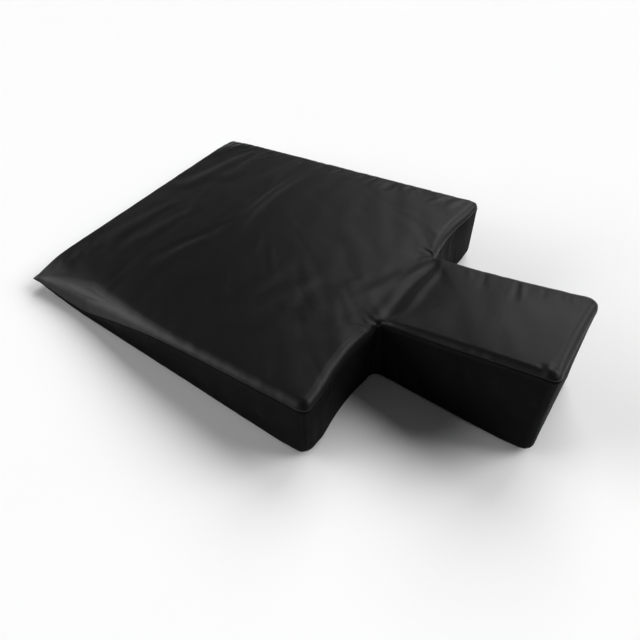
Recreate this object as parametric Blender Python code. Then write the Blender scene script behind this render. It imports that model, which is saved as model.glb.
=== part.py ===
"""Exercise wedge: a foam wedge with a narrow tongue, in a sewn cover with a zip along its thin edge.

Metres, +Z up. The origin is on the floor under the middle of the object. +X runs from the thin edge to
the end of the tongue, and +Y is the far side.
"""

import math

import bmesh
import bpy
import numpy as np
from mathutils import Vector
from mathutils.geometry import delaunay_2d_cdt

for leftover in list(bpy.data.objects):
    bpy.data.objects.remove(leftover, do_unlink=True)

# Outer size of the stuffed cover
WEDGE_LENGTH = 0.566
WEDGE_WIDTH = 0.510
TONGUE_LENGTH = 0.240
TONGUE_WIDTH = 0.163
THIN_EDGE_HEIGHT = 0.040
THICK_END_HEIGHT = 0.115
TONGUE_END_HEIGHT = 0.168

# Form of the cushion: crowned tops, sides drawn in between their corners, rounded edges, pinched corners
WEDGE_CROWN = 0.007
TONGUE_CROWN = 0.004
SIDE_HOLLOW = 0.003
OUTER_CORNER_RADIUS = 0.013
THIN_CORNER_RADIUS = 0.012
INNER_CORNER_RADIUS = 0.040
TOP_EDGE_RADIUS = 0.012
THIN_TOP_EDGE_RADIUS = 0.016
SLACK_TOP_EDGE_RADIUS = 0.026
SLACK_EDGE_LENGTH = 0.300
BASE_EDGE_RADIUS = 0.008
TIP_REACH = 0.055
TIP_DROP = 0.017
TIP_LIFT = 0.009
TOP_RADIUS_LIMIT_SHARE = 0.60
BASE_RADIUS_LIMIT_SHARE = 0.28

# Cover: seam shares run along the quarter round of an edge, from the side on top and from the floor below
COVER_THICKNESS = 0.0012
SEAM_GAP = 0.0003
TOP_SEAM_SHARE = 0.5
BASE_SEAM_SHARE = 0.5

# Foam
FOAM_SEAT_CLEARANCE = 0.0003
FOAM_CLEARANCE = 0.0008
FOAM_THIN_EDGE_SETBACK = 0.0028
FOAM_THIN_CORNER_RADIUS = 0.026
FOAM_ROOT_RADIUS = 0.003
FOAM_ROOT_CORNER_RADIUS = 0.014
FOAM_TIP_CLEARANCE = 0.004

# Zip along the thin edge
ZIP_END_CLEARANCE = 0.043
ZIP_SLOT = 0.011
ZIP_HEIGHT = 0.015
TAPE_WIDTH = 0.007
TAPE_THICKNESS = 0.0006
TAPE_END_CLEARANCE = 0.001
CHAIN_END_CLEARANCE = 0.020
COIL_WIDTH = 0.003
COIL_THICKNESS = 0.0024
COIL_SPLIT = 0.0014
COIL_ROUNDING = 0.0007
STOP_LENGTH = 0.004
STOP_PROUD = 0.0008
ZIP_CLEARANCE = 0.0003

# Slider and pull tab
SLIDER_LENGTH = 0.010
SLIDER_WALL = 0.0009
PLATE_THICKNESS = 0.0012
BACK_PLATE_THICKNESS = 0.0010
NECK_WIDTH = 0.0008
NECK_LENGTH = 0.0026
PLATE_NOSE_SHARE = 0.62
BAIL_WIDTH = 0.0012
BAIL_THICKNESS = 0.0010
BAIL_LENGTH = 0.006
TAB_LENGTH = 0.022
TAB_WIDTH = 0.0070
TAB_ROOT_WIDTH = 0.0048
TAB_THICKNESS = 0.0010
TAB_SWING_CLEARANCE = 0.00045
TAB_EYE_CLEARANCE = 0.0005

# Mesh density
GRID_SPACING = 0.048
ARC_STEPS = 6
SIDE_ROWS = 4
ROUND_STEPS = 3
STATION_MERGE = 0.004
TIP_RING_SHARES = (0.4, 0.6, 0.8, 1.0)
TIP_RAYS = 7
TIP_STATION_SHARES = (0.55, 0.75, 1.0)
TIP_MARGIN = 0.004
WELD_DISTANCE = 0.00001

# Depths at the thin edge, counted inwards from the cover's outer face
tape_outer_depth = COVER_THICKNESS + ZIP_CLEARANCE
tape_inner_depth = tape_outer_depth + TAPE_THICKNESS
coil_inner_depth = tape_outer_depth - ZIP_CLEARANCE
coil_outer_depth = coil_inner_depth - COIL_THICKNESS
plate_inner_depth = coil_outer_depth - ZIP_CLEARANCE
plate_outer_depth = plate_inner_depth - PLATE_THICKNESS
tab_swing_radius = math.hypot(TAB_THICKNESS, TAB_THICKNESS) / 2
hinge_depth = plate_outer_depth - tab_swing_radius - TAB_SWING_CLEARANCE / 2
bail_inner_depth = hinge_depth - tab_swing_radius - TAB_SWING_CLEARANCE / 2
bail_outer_depth = bail_inner_depth - BAIL_THICKNESS

# Places along the object, with the origin under the middle of all of it
overall_length = WEDGE_LENGTH + TONGUE_LENGTH - bail_outer_depth
thin_x = -overall_length / 2 - bail_outer_depth
shoulder_x = thin_x + WEDGE_LENGTH
end_x = shoulder_x + TONGUE_LENGTH
half_wedge = WEDGE_WIDTH / 2
half_tongue = TONGUE_WIDTH / 2
half_band = half_wedge - THIN_CORNER_RADIUS - ZIP_END_CLEARANCE
half_chain = half_band - CHAIN_END_CLEARANCE


def material(name, colour, roughness, metallic=0.0):
    """A plain Principled material."""
    made = bpy.data.materials.new(name)
    made.use_nodes = True
    shader = made.node_tree.nodes["Principled BSDF"]
    shader.inputs["Base Color"].default_value = (*colour, 1.0)
    shader.inputs["Roughness"].default_value = roughness
    shader.inputs["Metallic"].default_value = metallic
    return made


def bump(share):
    """One in the middle of a run, zero at both ends and past them."""
    inside = min(max(share, 0.0), 1.0)
    return 4 * inside * (1 - inside)


def pinch(x, y):
    """How much a point shares in the nearer pinched corner of the thin edge, from zero to one."""
    away = math.hypot(x - thin_x, half_wedge - abs(y)) / TIP_REACH
    rest = max(1.0 - away, 0.0)
    return rest * rest * (3 - 2 * rest)


def top_height(x, y):
    """Height of the cover's top at a point in plan."""
    if x < shoulder_x:
        slope = (THICK_END_HEIGHT - THIN_EDGE_HEIGHT) / WEDGE_LENGTH
        height = THIN_EDGE_HEIGHT + slope * (x - thin_x)
    else:
        slope = (TONGUE_END_HEIGHT - THICK_END_HEIGHT) / TONGUE_LENGTH
        height = THICK_END_HEIGHT + slope * (x - shoulder_x)
    across_wedge = (y + half_wedge) / WEDGE_WIDTH
    across_tongue = (y + half_tongue) / TONGUE_WIDTH
    height += WEDGE_CROWN * bump((x - thin_x) / WEDGE_LENGTH) * bump(across_wedge)
    height += TONGUE_CROWN * bump((x - shoulder_x) / TONGUE_LENGTH) * bump(across_tongue)
    return height - TIP_DROP * pinch(x, y)


def base_height(x, y):
    """Height of the cover's underside: flat on the floor, and lifted at the pinched corners."""
    return TIP_LIFT * pinch(x, y)


def side_hollow(point, normal):
    """How far a side is drawn in: the long sides and the tongue's end between their corners."""
    if point[0] < shoulder_x:
        long_side = bump((point[0] - thin_x) / WEDGE_LENGTH)
    else:
        long_side = bump((point[0] - shoulder_x) / TONGUE_LENGTH)
    beyond_shoulder = point[0] > (shoulder_x + end_x) / 2
    tongue_end = bump((point[1] + half_tongue) / TONGUE_WIDTH) if beyond_shoulder else 0.0
    return SIDE_HOLLOW * (long_side * abs(normal[1]) + tongue_end * max(normal[0], 0.0))


# Grid lines of the meshes in plan, and those that sides add near the pinched corners
wedge_steps = round(WEDGE_LENGTH / GRID_SPACING)
tongue_steps = round(TONGUE_LENGTH / GRID_SPACING)
half_width_steps = round(half_wedge / GRID_SPACING)
grid_x = list(np.linspace(thin_x, shoulder_x, wedge_steps + 1))
grid_x += list(np.linspace(shoulder_x, end_x, tongue_steps + 1))[1:]
grid_y = list(np.linspace(-half_wedge, half_wedge, 2 * half_width_steps + 1))
tip_steps = [TIP_REACH * share for share in TIP_STATION_SHARES]
grid_lines = (
    sorted(grid_x + [thin_x + step for step in tip_steps]),
    sorted(grid_y + [side * (half_wedge - step) for step in tip_steps for side in (-1, 1)]),
)


class Outline:
    """A closed plan outline, counterclockwise, of straight runs joined by corner arcs.

    corners holds (x, y, radius). The first run goes from the first corner to the second.
    """

    def __init__(self, corners):
        self.pieces = []
        count = len(corners)
        spots = [np.array(corner[:2], float) for corner in corners]
        arcs = []
        for i, spot in enumerate(spots):
            radius = corners[i][2]
            before = spots[i - 1] - spot
            after = spots[(i + 1) % count] - spot
            before /= np.linalg.norm(before)
            after /= np.linalg.norm(after)
            centre = spot + (before + after) * radius
            outwards = 1 if before[0] * after[1] - before[1] * after[0] < 0 else -1
            arcs.append((centre, radius, spot + before * radius, spot + after * radius, outwards))
        for i in range(count):
            start = arcs[i][3]
            finish = arcs[(i + 1) % count][2]
            self.pieces.append(("run", start, finish))
            self.pieces.append(("arc", *arcs[(i + 1) % count]))
        self.starts = [0.0]
        for piece in self.pieces:
            if piece[0] == "run":
                length = float(np.linalg.norm(piece[2] - piece[1]))
            else:
                length = piece[2] * math.pi / 2
            self.starts.append(self.starts[-1] + length)
        self.length = self.starts[-1]

    def middle_of_arc(self, corner):
        """Where the arc at a corner has its middle. The arc at corner n follows run n - 1."""
        return (self.starts[2 * corner - 1] + self.starts[2 * corner]) / 2

    def at(self, place):
        """The point at a distance along the outline, and its outward normal."""
        place %= self.length
        index = max(i for i, start in enumerate(self.starts[:-1]) if start <= place)
        piece = self.pieces[index]
        share = (place - self.starts[index]) / (self.starts[index + 1] - self.starts[index])
        if piece[0] == "run":
            along = (piece[2] - piece[1]) / np.linalg.norm(piece[2] - piece[1])
            return piece[1] + (piece[2] - piece[1]) * share, np.array([along[1], -along[0]])
        _, centre, radius, first, last, outwards = piece
        angle = share * math.pi / 2
        ray = (first - centre) * math.cos(angle) + (last - centre) * math.sin(angle)
        return centre + ray, outwards * ray / radius

    def stations(self, seams=()):
        """Places round the outline for a mesh: steps on each arc, grid lines on each run, and the seams."""
        places = []
        for i, piece in enumerate(self.pieces):
            start, finish = self.starts[i], self.starts[i + 1]
            if piece[0] == "arc":
                places += [start + (finish - start) * step / ARC_STEPS for step in range(ARC_STEPS + 1)]
                continue
            axis = int(np.argmax(np.abs(piece[2] - piece[1])))
            low, high = sorted((piece[1][axis], piece[2][axis]))
            lines = [line for line in grid_lines[axis] if low + STATION_MERGE < line < high - STATION_MERGE]
            places += [start + abs(line - piece[1][axis]) for line in lines]
        places = [place for place in places if all(abs(place - seam) > STATION_MERGE for seam in seams)]
        places = sorted(places + list(seams))
        return [place for place, later in zip(places, places[1:]) if later - place > WELD_DISTANCE]

    def stretch(self, first, last, seams):
        """Places from one seam to the next, half a seam gap short of both."""
        if last < first:
            last += self.length
        places = self.stations(seams)
        places += [place + self.length for place in places]
        inner = [place for place in places if first + STATION_MERGE / 2 < place < last - STATION_MERGE / 2]
        return [first + SEAM_GAP / 2] + inner + [last - SEAM_GAP / 2]


class Form:
    """The cushion's rounded surface over an outline, seen as points and outward normals."""

    def __init__(self, outline, root_x=None):
        self.outline = outline
        self.root_x = root_x

    def radii(self, point, normal):
        """Radii of the rounding at the top and base edges beside an outline point."""
        slack = max(1 - (point[0] - thin_x) / SLACK_EDGE_LENGTH, 0.0) ** 2
        side = TOP_EDGE_RADIUS + (SLACK_TOP_EDGE_RADIUS - TOP_EDGE_RADIUS) * slack
        end = THIN_TOP_EDGE_RADIUS if point[0] < 0 and normal[0] < 0 else TOP_EDGE_RADIUS
        top = side * normal[1] ** 2 + end * normal[0] ** 2
        base = BASE_EDGE_RADIUS
        if self.root_x is not None:
            rootward = max(-normal[0], 0.0)
            top += (FOAM_ROOT_RADIUS - top) * rootward
            base += (FOAM_ROOT_RADIUS - base) * rootward
        tall = top_height(*point) - base_height(*point)
        return min(top, TOP_RADIUS_LIMIT_SHARE * tall), min(base, BASE_RADIUS_LIMIT_SHARE * tall)

    def top_round(self, place, share, shift=0.0):
        """On the top edge's quarter round: share 0 at the side and 1 on top, then shifted by a length."""
        point, normal = self.outline.at(place)
        radius = self.radii(point, normal)[0]
        angle = share * math.pi / 2 + shift / radius
        spot = point - normal * radius * (1 - math.cos(angle))
        height = top_height(*spot) - radius * (1 - math.sin(angle))
        return (*spot, height), (*(normal * math.cos(angle)), math.sin(angle))

    def base_round(self, place, share, shift=0.0):
        """On the base edge's quarter round: share 0 on the floor and 1 at the side."""
        point, normal = self.outline.at(place)
        radius = self.radii(point, normal)[1]
        angle = share * math.pi / 2 + shift / radius
        spot = point - normal * radius * (1 - math.sin(angle))
        height = base_height(*spot) + radius * (1 - math.cos(angle))
        return (*spot, height), (*(normal * math.sin(angle)), -math.cos(angle))

    def side(self, place, share):
        """On the side between the two rounds: share 0 at the base round and 1 at the top round."""
        point, normal = self.outline.at(place)
        top_radius, base_radius = self.radii(point, normal)
        low = base_height(*point) + base_radius
        high = top_height(*point) - top_radius
        spot = point - normal * side_hollow(point, normal) * bump(share)
        return (*spot, low + (high - low) * share), (*normal, 0.0)

    def side_at_height(self, place, height):
        """On the upright side at a height."""
        point, normal = self.outline.at(place)
        return (*point, height), (*normal, 0.0)

    def cap(self, upper, places, first_share, shift):
        """Points, normals and faces of the top or the base inside its seam."""
        rounding = self.top_round if upper else self.base_round
        last_share = 1.0 if upper else 0.0
        points, normals, edges = [], [], []
        for step in range(ROUND_STEPS):
            share = first_share + (last_share - first_share) * step / (ROUND_STEPS - 1)
            start = len(points)
            for place in places:
                spot, normal = rounding(place, share, shift if step == 0 else 0.0)
                points.append(spot)
                normals.append(normal)
            edges += [(start + i, start + (i + 1) % len(places)) for i in range(len(places))]
        ring = np.array(points[-len(places):])[:, :2]
        height = top_height if upper else base_height
        for x, y in grid_inside(ring):
            points.append((x, y, height(x, y)))
            normals.append((0.0, 0.0, 1.0 if upper else -1.0))
        flat = [Vector(point[:2]) for point in points]
        made = delaunay_2d_cdt(flat, edges, [], 1, WELD_DISTANCE / 10)
        source = [originals[0] for originals in made[3]]
        return points, normals, [[source[corner] for corner in face] for face in made[2]]


def grid_inside(ring):
    """Plan points of the grid that lie well inside a ring of points."""
    spots = [(x, y, GRID_SPACING / 3) for x in grid_x for y in grid_y if clear_of_tips(x, y)]
    for ring_share in TIP_RING_SHARES:
        for angle in np.linspace(0, math.pi / 2, TIP_RAYS):
            x = thin_x + TIP_REACH * ring_share * math.cos(angle)
            y = half_wedge - TIP_REACH * ring_share * math.sin(angle)
            spots += [(x, y, TIP_MARGIN), (x, -y, TIP_MARGIN)]
    starts, steps = ring, np.roll(ring, -1, axis=0) - ring
    kept = []
    for x, y, margin in spots:
        spot = np.array([x, y])
        share = ((spot - starts) * steps).sum(1) / (steps * steps).sum(1)
        nearest = starts + steps * np.clip(share, 0, 1)[:, None]
        if np.hypot(*(nearest - spot).T).min() < margin:
            continue
        crosses = (starts[:, 1] > y) != (starts[:, 1] + steps[:, 1] > y)
        rising = np.where(steps[:, 1] == 0, 1, steps[:, 1])
        meets = starts[:, 0] + steps[:, 0] * (y - starts[:, 1]) / rising
        if np.count_nonzero(crosses & (meets > x)) % 2:
            kept.append((float(x), float(y)))
    return kept


def clear_of_tips(x, y):
    """Whether a grid point is outside the finer rings at the pinched corners."""
    return math.hypot(x - thin_x, half_wedge - abs(y)) > TIP_REACH + GRID_SPACING / 4


def grid_faces(row_count, column_count):
    """Triangles of a grid whose points are listed row by row, all cut along the same diagonal."""
    faces = []
    for row in range(row_count - 1):
        for column in range(column_count - 1):
            here = row * column_count + column
            above = here + column_count
            faces += [[here, here + 1, above + 1], [here, above + 1, above]]
    return faces


def facing(points, normals, faces):
    """The faces, each turned to look along its own corners' normals."""
    points, normals = np.array(points), np.array(normals)
    turned = []
    for face in faces:
        across = np.cross(points[face[1]] - points[face[0]], points[face[2]] - points[face[0]])
        turned.append(face if across @ normals[face].sum(0) > 0 else face[::-1])
    return turned


def add_object(name, points, faces, look, parent=None, smooth_degrees=40):
    """A mesh object with one material, shaded smooth except at sharp edges."""
    mesh = bpy.data.meshes.new(name)
    mesh.from_pydata([tuple(point) for point in points], [], faces)
    mesh.materials.append(look)
    mesh.shade_smooth()
    mesh.set_sharp_from_angle(angle=math.radians(smooth_degrees))
    made = bpy.data.objects.new(name, mesh)
    bpy.context.scene.collection.objects.link(made)
    made.parent = parent
    return made


def add_panel(name, points, normals, faces, look, thickness=COVER_THICKNESS, depth=0.0):
    """A cut of sheet: the faces as its outer side, a copy one thickness inside, and walls round its rim."""
    faces = facing(points, normals, faces)
    points, normals = np.array(points), np.array(normals)
    outer, inner = points - normals * depth, points - normals * (depth + thickness)
    count = len(points)
    sides = {}
    for face in faces:
        for a, b in zip(face, face[1:] + face[:1]):
            sides[(a, b)] = True
    walls = [[b, a, a + count, b + count] for a, b in sides if (b, a) not in sides]
    backs = [[corner + count for corner in face[::-1]] for face in faces]
    return add_object(name, np.vstack([outer, inner]), faces + backs + walls, look)


def add_foam(name, form, look):
    """A foam block: the form's surface moved inside the cover, as one closed solid on the base panel."""
    places = form.outline.stations()
    top = form.cap(True, places, 0.0, 0.0)
    base = form.cap(False, places, 1.0, 0.0)
    points, normals = [], []
    for row in range(SIDE_ROWS + 1):
        for place in places + places[:1]:
            spot, normal = form.side(place, row / SIDE_ROWS)
            points.append(spot)
            normals.append(normal)
    around = (points, normals, grid_faces(SIDE_ROWS + 1, len(places) + 1))
    all_points, all_faces = [], []
    for points, normals, faces in (top, base, around):
        shift = len(all_points)
        for (x, y, z), normal in zip(points, normals):
            clearance = FOAM_CLEARANCE + (FOAM_SEAT_CLEARANCE - FOAM_CLEARANCE) * max(-normal[2], 0.0)
            depth = COVER_THICKNESS + clearance + FOAM_TIP_CLEARANCE * pinch(x, y)
            all_points.append(np.array((x, y, z)) - np.array(normal) * depth)
        all_faces += [[corner + shift for corner in face] for face in facing(points, normals, faces)]
    made = add_object(name, all_points, all_faces, look)
    work = bmesh.new()
    work.from_mesh(made.data)
    bmesh.ops.remove_doubles(work, verts=work.verts, dist=WELD_DISTANCE)
    work.to_mesh(made.data)
    work.free()
    return made


def add_block(name, low, high, look, rounding=0.0, parent=None):
    """A box between two corners given relative to its parent, with its edges rounded."""
    low, high = Vector(low), Vector(high)
    work = bmesh.new()
    bmesh.ops.create_cube(work, size=1.0)
    for vert in work.verts:
        for axis in range(3):
            vert.co[axis] = high[axis] if vert.co[axis] > 0 else low[axis]
    mesh = bpy.data.meshes.new(name)
    work.to_mesh(mesh)
    work.free()
    mesh.materials.append(look)
    made = bpy.data.objects.new(name, mesh)
    bpy.context.scene.collection.objects.link(made)
    made.parent = parent
    if rounding:
        bevel = made.modifiers.new("rounding", "BEVEL")
        bevel.width = rounding
        bevel.segments = 2
        mesh.shade_smooth()
    return made


def add_plate(name, outline, axis, low, high, look, parent=None):
    """A flat outline in the plane across an axis, extruded along that axis from low to high."""
    work = bmesh.new()
    verts = []
    for first, second in outline:
        spot = [first, second]
        spot.insert(axis, low)
        verts.append(work.verts.new(spot))
    face = work.faces.new(verts)
    grown = bmesh.ops.extrude_face_region(work, geom=[face])
    step = Vector((0, 0, 0))
    step[axis] = high - low
    moved = [item for item in grown["geom"] if isinstance(item, bmesh.types.BMVert)]
    bmesh.ops.translate(work, verts=moved, vec=step)
    bmesh.ops.recalc_face_normals(work, faces=work.faces)
    mesh = bpy.data.meshes.new(name)
    work.to_mesh(mesh)
    work.free()
    mesh.materials.append(look)
    made = bpy.data.objects.new(name, mesh)
    bpy.context.scene.collection.objects.link(made)
    made.parent = parent
    return made


def combine(target, tool, operation):
    """Joins a tool to a target, or cuts it out, and leaves the tool as a hidden guide."""
    change = target.modifiers.new(tool.name, "BOOLEAN")
    change.operation = operation
    change.solver = "EXACT"
    change.object = tool
    tool.hide_render = True
    tool.display_type = "WIRE"


black_cloth = material("coated_cloth", (0.012, 0.012, 0.013), 0.5)
foam_look = material("foam", (0.55, 0.56, 0.58), 0.9)
tape_cloth = material("zip_tape", (0.010, 0.010, 0.011), 0.8)
coil_nylon = material("zip_coil", (0.014, 0.014, 0.015), 0.4)
slider_metal = material("zip_metal", (0.03, 0.03, 0.032), 0.35, 0.9)

# Cover
cover_outline = Outline([
    (thin_x, half_wedge, THIN_CORNER_RADIUS),
    (thin_x, -half_wedge, THIN_CORNER_RADIUS),
    (shoulder_x, -half_wedge, OUTER_CORNER_RADIUS),
    (shoulder_x, -half_tongue, INNER_CORNER_RADIUS),
    (end_x, -half_tongue, OUTER_CORNER_RADIUS),
    (end_x, half_tongue, OUTER_CORNER_RADIUS),
    (shoulder_x, half_tongue, INNER_CORNER_RADIUS),
    (shoulder_x, half_wedge, OUTER_CORNER_RADIUS),
])
cover_form = Form(cover_outline)
thin_run = half_wedge - THIN_CORNER_RADIUS
band_seams = [thin_run - half_band, thin_run + half_band]
corner_seams = [cover_outline.middle_of_arc(corner) for corner in (2, 3, 4, 5, 6, 7)]
seams = band_seams + corner_seams
whole_loop = cover_outline.stations(seams)

add_panel("cover_top_panel", *cover_form.cap(True, whole_loop, TOP_SEAM_SHARE, SEAM_GAP / 2), black_cloth)
add_panel("cover_base_panel", *cover_form.cap(False, whole_loop, BASE_SEAM_SHARE, -SEAM_GAP / 2), black_cloth)


def base_rows(places):
    """Rows of the band from the base seam up to the side."""
    rows = []
    for step in range(ROUND_STEPS):
        share = BASE_SEAM_SHARE + (1 - BASE_SEAM_SHARE) * step / (ROUND_STEPS - 1)
        shift = SEAM_GAP / 2 if step == 0 else 0.0
        rows.append([cover_form.base_round(place, share, shift) for place in places])
    return rows


def top_rows(places):
    """Rows of the band from the side up to the top seam."""
    rows = []
    for step in range(ROUND_STEPS):
        share = TOP_SEAM_SHARE * step / (ROUND_STEPS - 1)
        shift = -SEAM_GAP / 2 if step == ROUND_STEPS - 1 else 0.0
        rows.append([cover_form.top_round(place, share, shift) for place in places])
    return rows


def add_band_panel(name, rows):
    """A panel of the cover's sides, from rows of points and normals."""
    points = [spot for row in rows for spot, _ in row]
    normals = [normal for row in rows for _, normal in row]
    add_panel(name, points, normals, grid_faces(len(rows), len(rows[0])), black_cloth)


band_names = (
    "cover_side_near",
    "cover_shoulder_near",
    "cover_tongue_side_near",
    "cover_tongue_end",
    "cover_tongue_side_far",
    "cover_shoulder_far",
    "cover_side_far",
)
band_ends = seams[1:] + seams[:1]
for name, first, last in zip(band_names, band_ends[:-1], band_ends[1:]):
    places = cover_outline.stretch(first, last, seams)
    upright = [
        [cover_form.side(place, row / SIDE_ROWS) for place in places]
        for row in range(1, SIDE_ROWS)
    ]
    add_band_panel(name, base_rows(places) + upright + top_rows(places))

zip_places = cover_outline.stretch(*band_seams, seams)
slot_low = ZIP_HEIGHT - ZIP_SLOT / 2
slot_high = ZIP_HEIGHT + ZIP_SLOT / 2
add_band_panel("cover_edge_lower", base_rows(zip_places) + [
    [cover_form.side_at_height(place, slot_low) for place in zip_places]
])
add_band_panel("cover_edge_upper", [
    [cover_form.side_at_height(place, slot_high) for place in zip_places]
] + top_rows(zip_places))

# Foam
foam_thin_x = thin_x + FOAM_THIN_EDGE_SETBACK
wedge_outline = Outline([
    (foam_thin_x, half_wedge, FOAM_THIN_CORNER_RADIUS),
    (foam_thin_x, -half_wedge, FOAM_THIN_CORNER_RADIUS),
    (shoulder_x, -half_wedge, OUTER_CORNER_RADIUS),
    (shoulder_x, half_wedge, OUTER_CORNER_RADIUS),
])
root_x = shoulder_x - 2 * (COVER_THICKNESS + FOAM_CLEARANCE) + FOAM_SEAT_CLEARANCE
tongue_outline = Outline([
    (root_x, half_tongue, FOAM_ROOT_CORNER_RADIUS),
    (root_x, -half_tongue, FOAM_ROOT_CORNER_RADIUS),
    (end_x, -half_tongue, OUTER_CORNER_RADIUS),
    (end_x, half_tongue, OUTER_CORNER_RADIUS),
])
add_foam("wedge_foam", Form(wedge_outline), foam_look)
add_foam("tongue_foam", Form(tongue_outline, root_x), foam_look)

# Zip. Its frame has its origin at the middle of the closed chain's outer face, on the cover's outer surface.
zip_frame = bpy.data.objects.new("zip_frame", None)
zip_frame.location = (thin_x, 0, ZIP_HEIGHT)
bpy.context.scene.collection.objects.link(zip_frame)
half_split = COIL_SPLIT / 2
half_tape_length = half_band - TAPE_END_CLEARANCE
chain_half_width = half_split + COIL_WIDTH
stop_start = half_chain + ZIP_CLEARANCE
stop_outer_depth = coil_outer_depth - STOP_PROUD

for side, sign in (("upper", 1), ("lower", -1)):
    tape_edges = sorted((sign * half_split, sign * (half_split + TAPE_WIDTH)))
    coil_edges = sorted((sign * half_split, sign * chain_half_width))
    add_block(
        f"zip_tape_{side}",
        (tape_outer_depth, -half_tape_length, tape_edges[0]),
        (tape_inner_depth, half_tape_length, tape_edges[1]),
        tape_cloth,
        parent=zip_frame,
    )
    add_block(
        f"zip_coil_{side}",
        (coil_outer_depth, -half_chain, coil_edges[0]),
        (coil_inner_depth, half_chain, coil_edges[1]),
        coil_nylon,
        COIL_ROUNDING,
        zip_frame,
    )
    add_block(
        f"zip_top_stop_{side}",
        (stop_outer_depth, stop_start, coil_edges[0]),
        (coil_inner_depth, stop_start + STOP_LENGTH, coil_edges[1]),
        slider_metal,
        COIL_ROUNDING,
        zip_frame,
    )
add_block(
    "zip_bottom_stop",
    (stop_outer_depth, -stop_start - STOP_LENGTH, -chain_half_width),
    (coil_inner_depth, -stop_start, chain_half_width),
    slider_metal,
    COIL_ROUNDING,
    zip_frame,
)

# Slider, closed against the top stops, its wide end towards them. Its frame is on the pull tab's hinge axis.
slider_half = SLIDER_LENGTH / 2
slider_y = stop_start - ZIP_CLEARANCE - slider_half
slider_frame = bpy.data.objects.new("slider_frame", None)
slider_frame.location = (hinge_depth, slider_y, 0)
slider_frame.parent = zip_frame
bpy.context.scene.collection.objects.link(slider_frame)
flange_inner = chain_half_width + ZIP_CLEARANCE
flange_outer = flange_inner + SLIDER_WALL
back_plate_outer = tape_inner_depth + ZIP_CLEARANCE
plate_outline = [
    (-slider_half, -flange_outer * PLATE_NOSE_SHARE),
    (-slider_half, flange_outer * PLATE_NOSE_SHARE),
    (0, flange_outer),
    (slider_half, flange_outer),
    (slider_half, -flange_outer),
    (0, -flange_outer),
]


def from_hinge(depth):
    """A depth at the thin edge, counted from the pull tab's hinge axis."""
    return depth - hinge_depth


slider = add_plate(
    "zip_slider",
    plate_outline,
    0,
    from_hinge(plate_outer_depth),
    from_hinge(plate_inner_depth),
    slider_metal,
    slider_frame,
)
back_plate = add_plate(
    "guide_back_plate",
    plate_outline,
    0,
    from_hinge(back_plate_outer),
    from_hinge(back_plate_outer + BACK_PLATE_THICKNESS),
    slider_metal,
    slider_frame,
)
neck = add_block(
    "guide_neck",
    (from_hinge(plate_inner_depth - PLATE_THICKNESS / 2), slider_half - NECK_LENGTH, -NECK_WIDTH / 2),
    (from_hinge(back_plate_outer + BACK_PLATE_THICKNESS / 2), slider_half, NECK_WIDTH / 2),
    slider_metal,
    parent=slider_frame,
)
half_bail = BAIL_LENGTH / 2
bail_foot = from_hinge(plate_outer_depth + PLATE_THICKNESS / 2)
bail_outline = [
    (bail_foot, -half_bail),
    (from_hinge(bail_outer_depth), -half_bail),
    (from_hinge(bail_outer_depth), half_bail),
    (bail_foot, half_bail),
    (bail_foot, half_bail - BAIL_THICKNESS),
    (from_hinge(bail_inner_depth), half_bail - BAIL_THICKNESS),
    (from_hinge(bail_inner_depth), BAIL_THICKNESS - half_bail),
    (bail_foot, BAIL_THICKNESS - half_bail),
]
bail = add_plate("guide_bail", bail_outline, 2, -BAIL_WIDTH / 2, BAIL_WIDTH / 2, slider_metal, slider_frame)
for sign, label in ((1, "upper"), (-1, "lower")):
    edges = sorted((sign * flange_inner, sign * flange_outer))
    flange = add_block(
        f"guide_flange_{label}",
        (from_hinge(plate_inner_depth - PLATE_THICKNESS / 2), 0, edges[0]),
        (from_hinge(coil_inner_depth), slider_half, edges[1]),
        slider_metal,
        parent=slider_frame,
    )
    combine(slider, flange, "UNION")
combine(slider, neck, "UNION")
combine(slider, back_plate, "UNION")
combine(slider, bail, "UNION")

# Pull tab. Its end bar lies under the bail, on the hinge axis, and it points towards the near side at rest.
half_tab = TAB_THICKNESS / 2
tab_outline = [
    (half_tab, -TAB_ROOT_WIDTH / 2),
    (half_tab, TAB_ROOT_WIDTH / 2),
    (-TAB_LENGTH / 2, TAB_WIDTH / 2),
    (TAB_WIDTH / 4 - TAB_LENGTH, TAB_WIDTH / 2),
    (-TAB_LENGTH, TAB_WIDTH / 4),
    (-TAB_LENGTH, -TAB_WIDTH / 4),
    (TAB_WIDTH / 4 - TAB_LENGTH, -TAB_WIDTH / 2),
    (-TAB_LENGTH / 2, -TAB_WIDTH / 2),
]
tab = add_plate("zip_pull_tab", tab_outline, 0, -half_tab, half_tab, slider_metal, slider_frame)
bail_reach = math.hypot(half_bail, from_hinge(bail_outer_depth))
eye_half_width = BAIL_WIDTH / 2 + TAB_EYE_CLEARANCE
eye = add_block(
    "guide_eye",
    (-TAB_THICKNESS, -bail_reach - TAB_EYE_CLEARANCE, -eye_half_width),
    (TAB_THICKNESS, -half_tab, eye_half_width),
    slider_metal,
    parent=slider_frame,
)
combine(tab, eye, "DIFFERENCE")
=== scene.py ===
"""Exercise wedge: foam in a sewn black cover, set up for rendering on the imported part's frame.

Metres, +Z up. +X runs from the thin edge to the end of the tongue, and +Y is the far side.
"""

import math

import bmesh
import bpy
import numpy as np
from mathutils import Matrix, Vector
from mathutils.bvhtree import BVHTree
from mathutils.geometry import delaunay_2d_cdt
from mathutils.kdtree import KDTree


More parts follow.
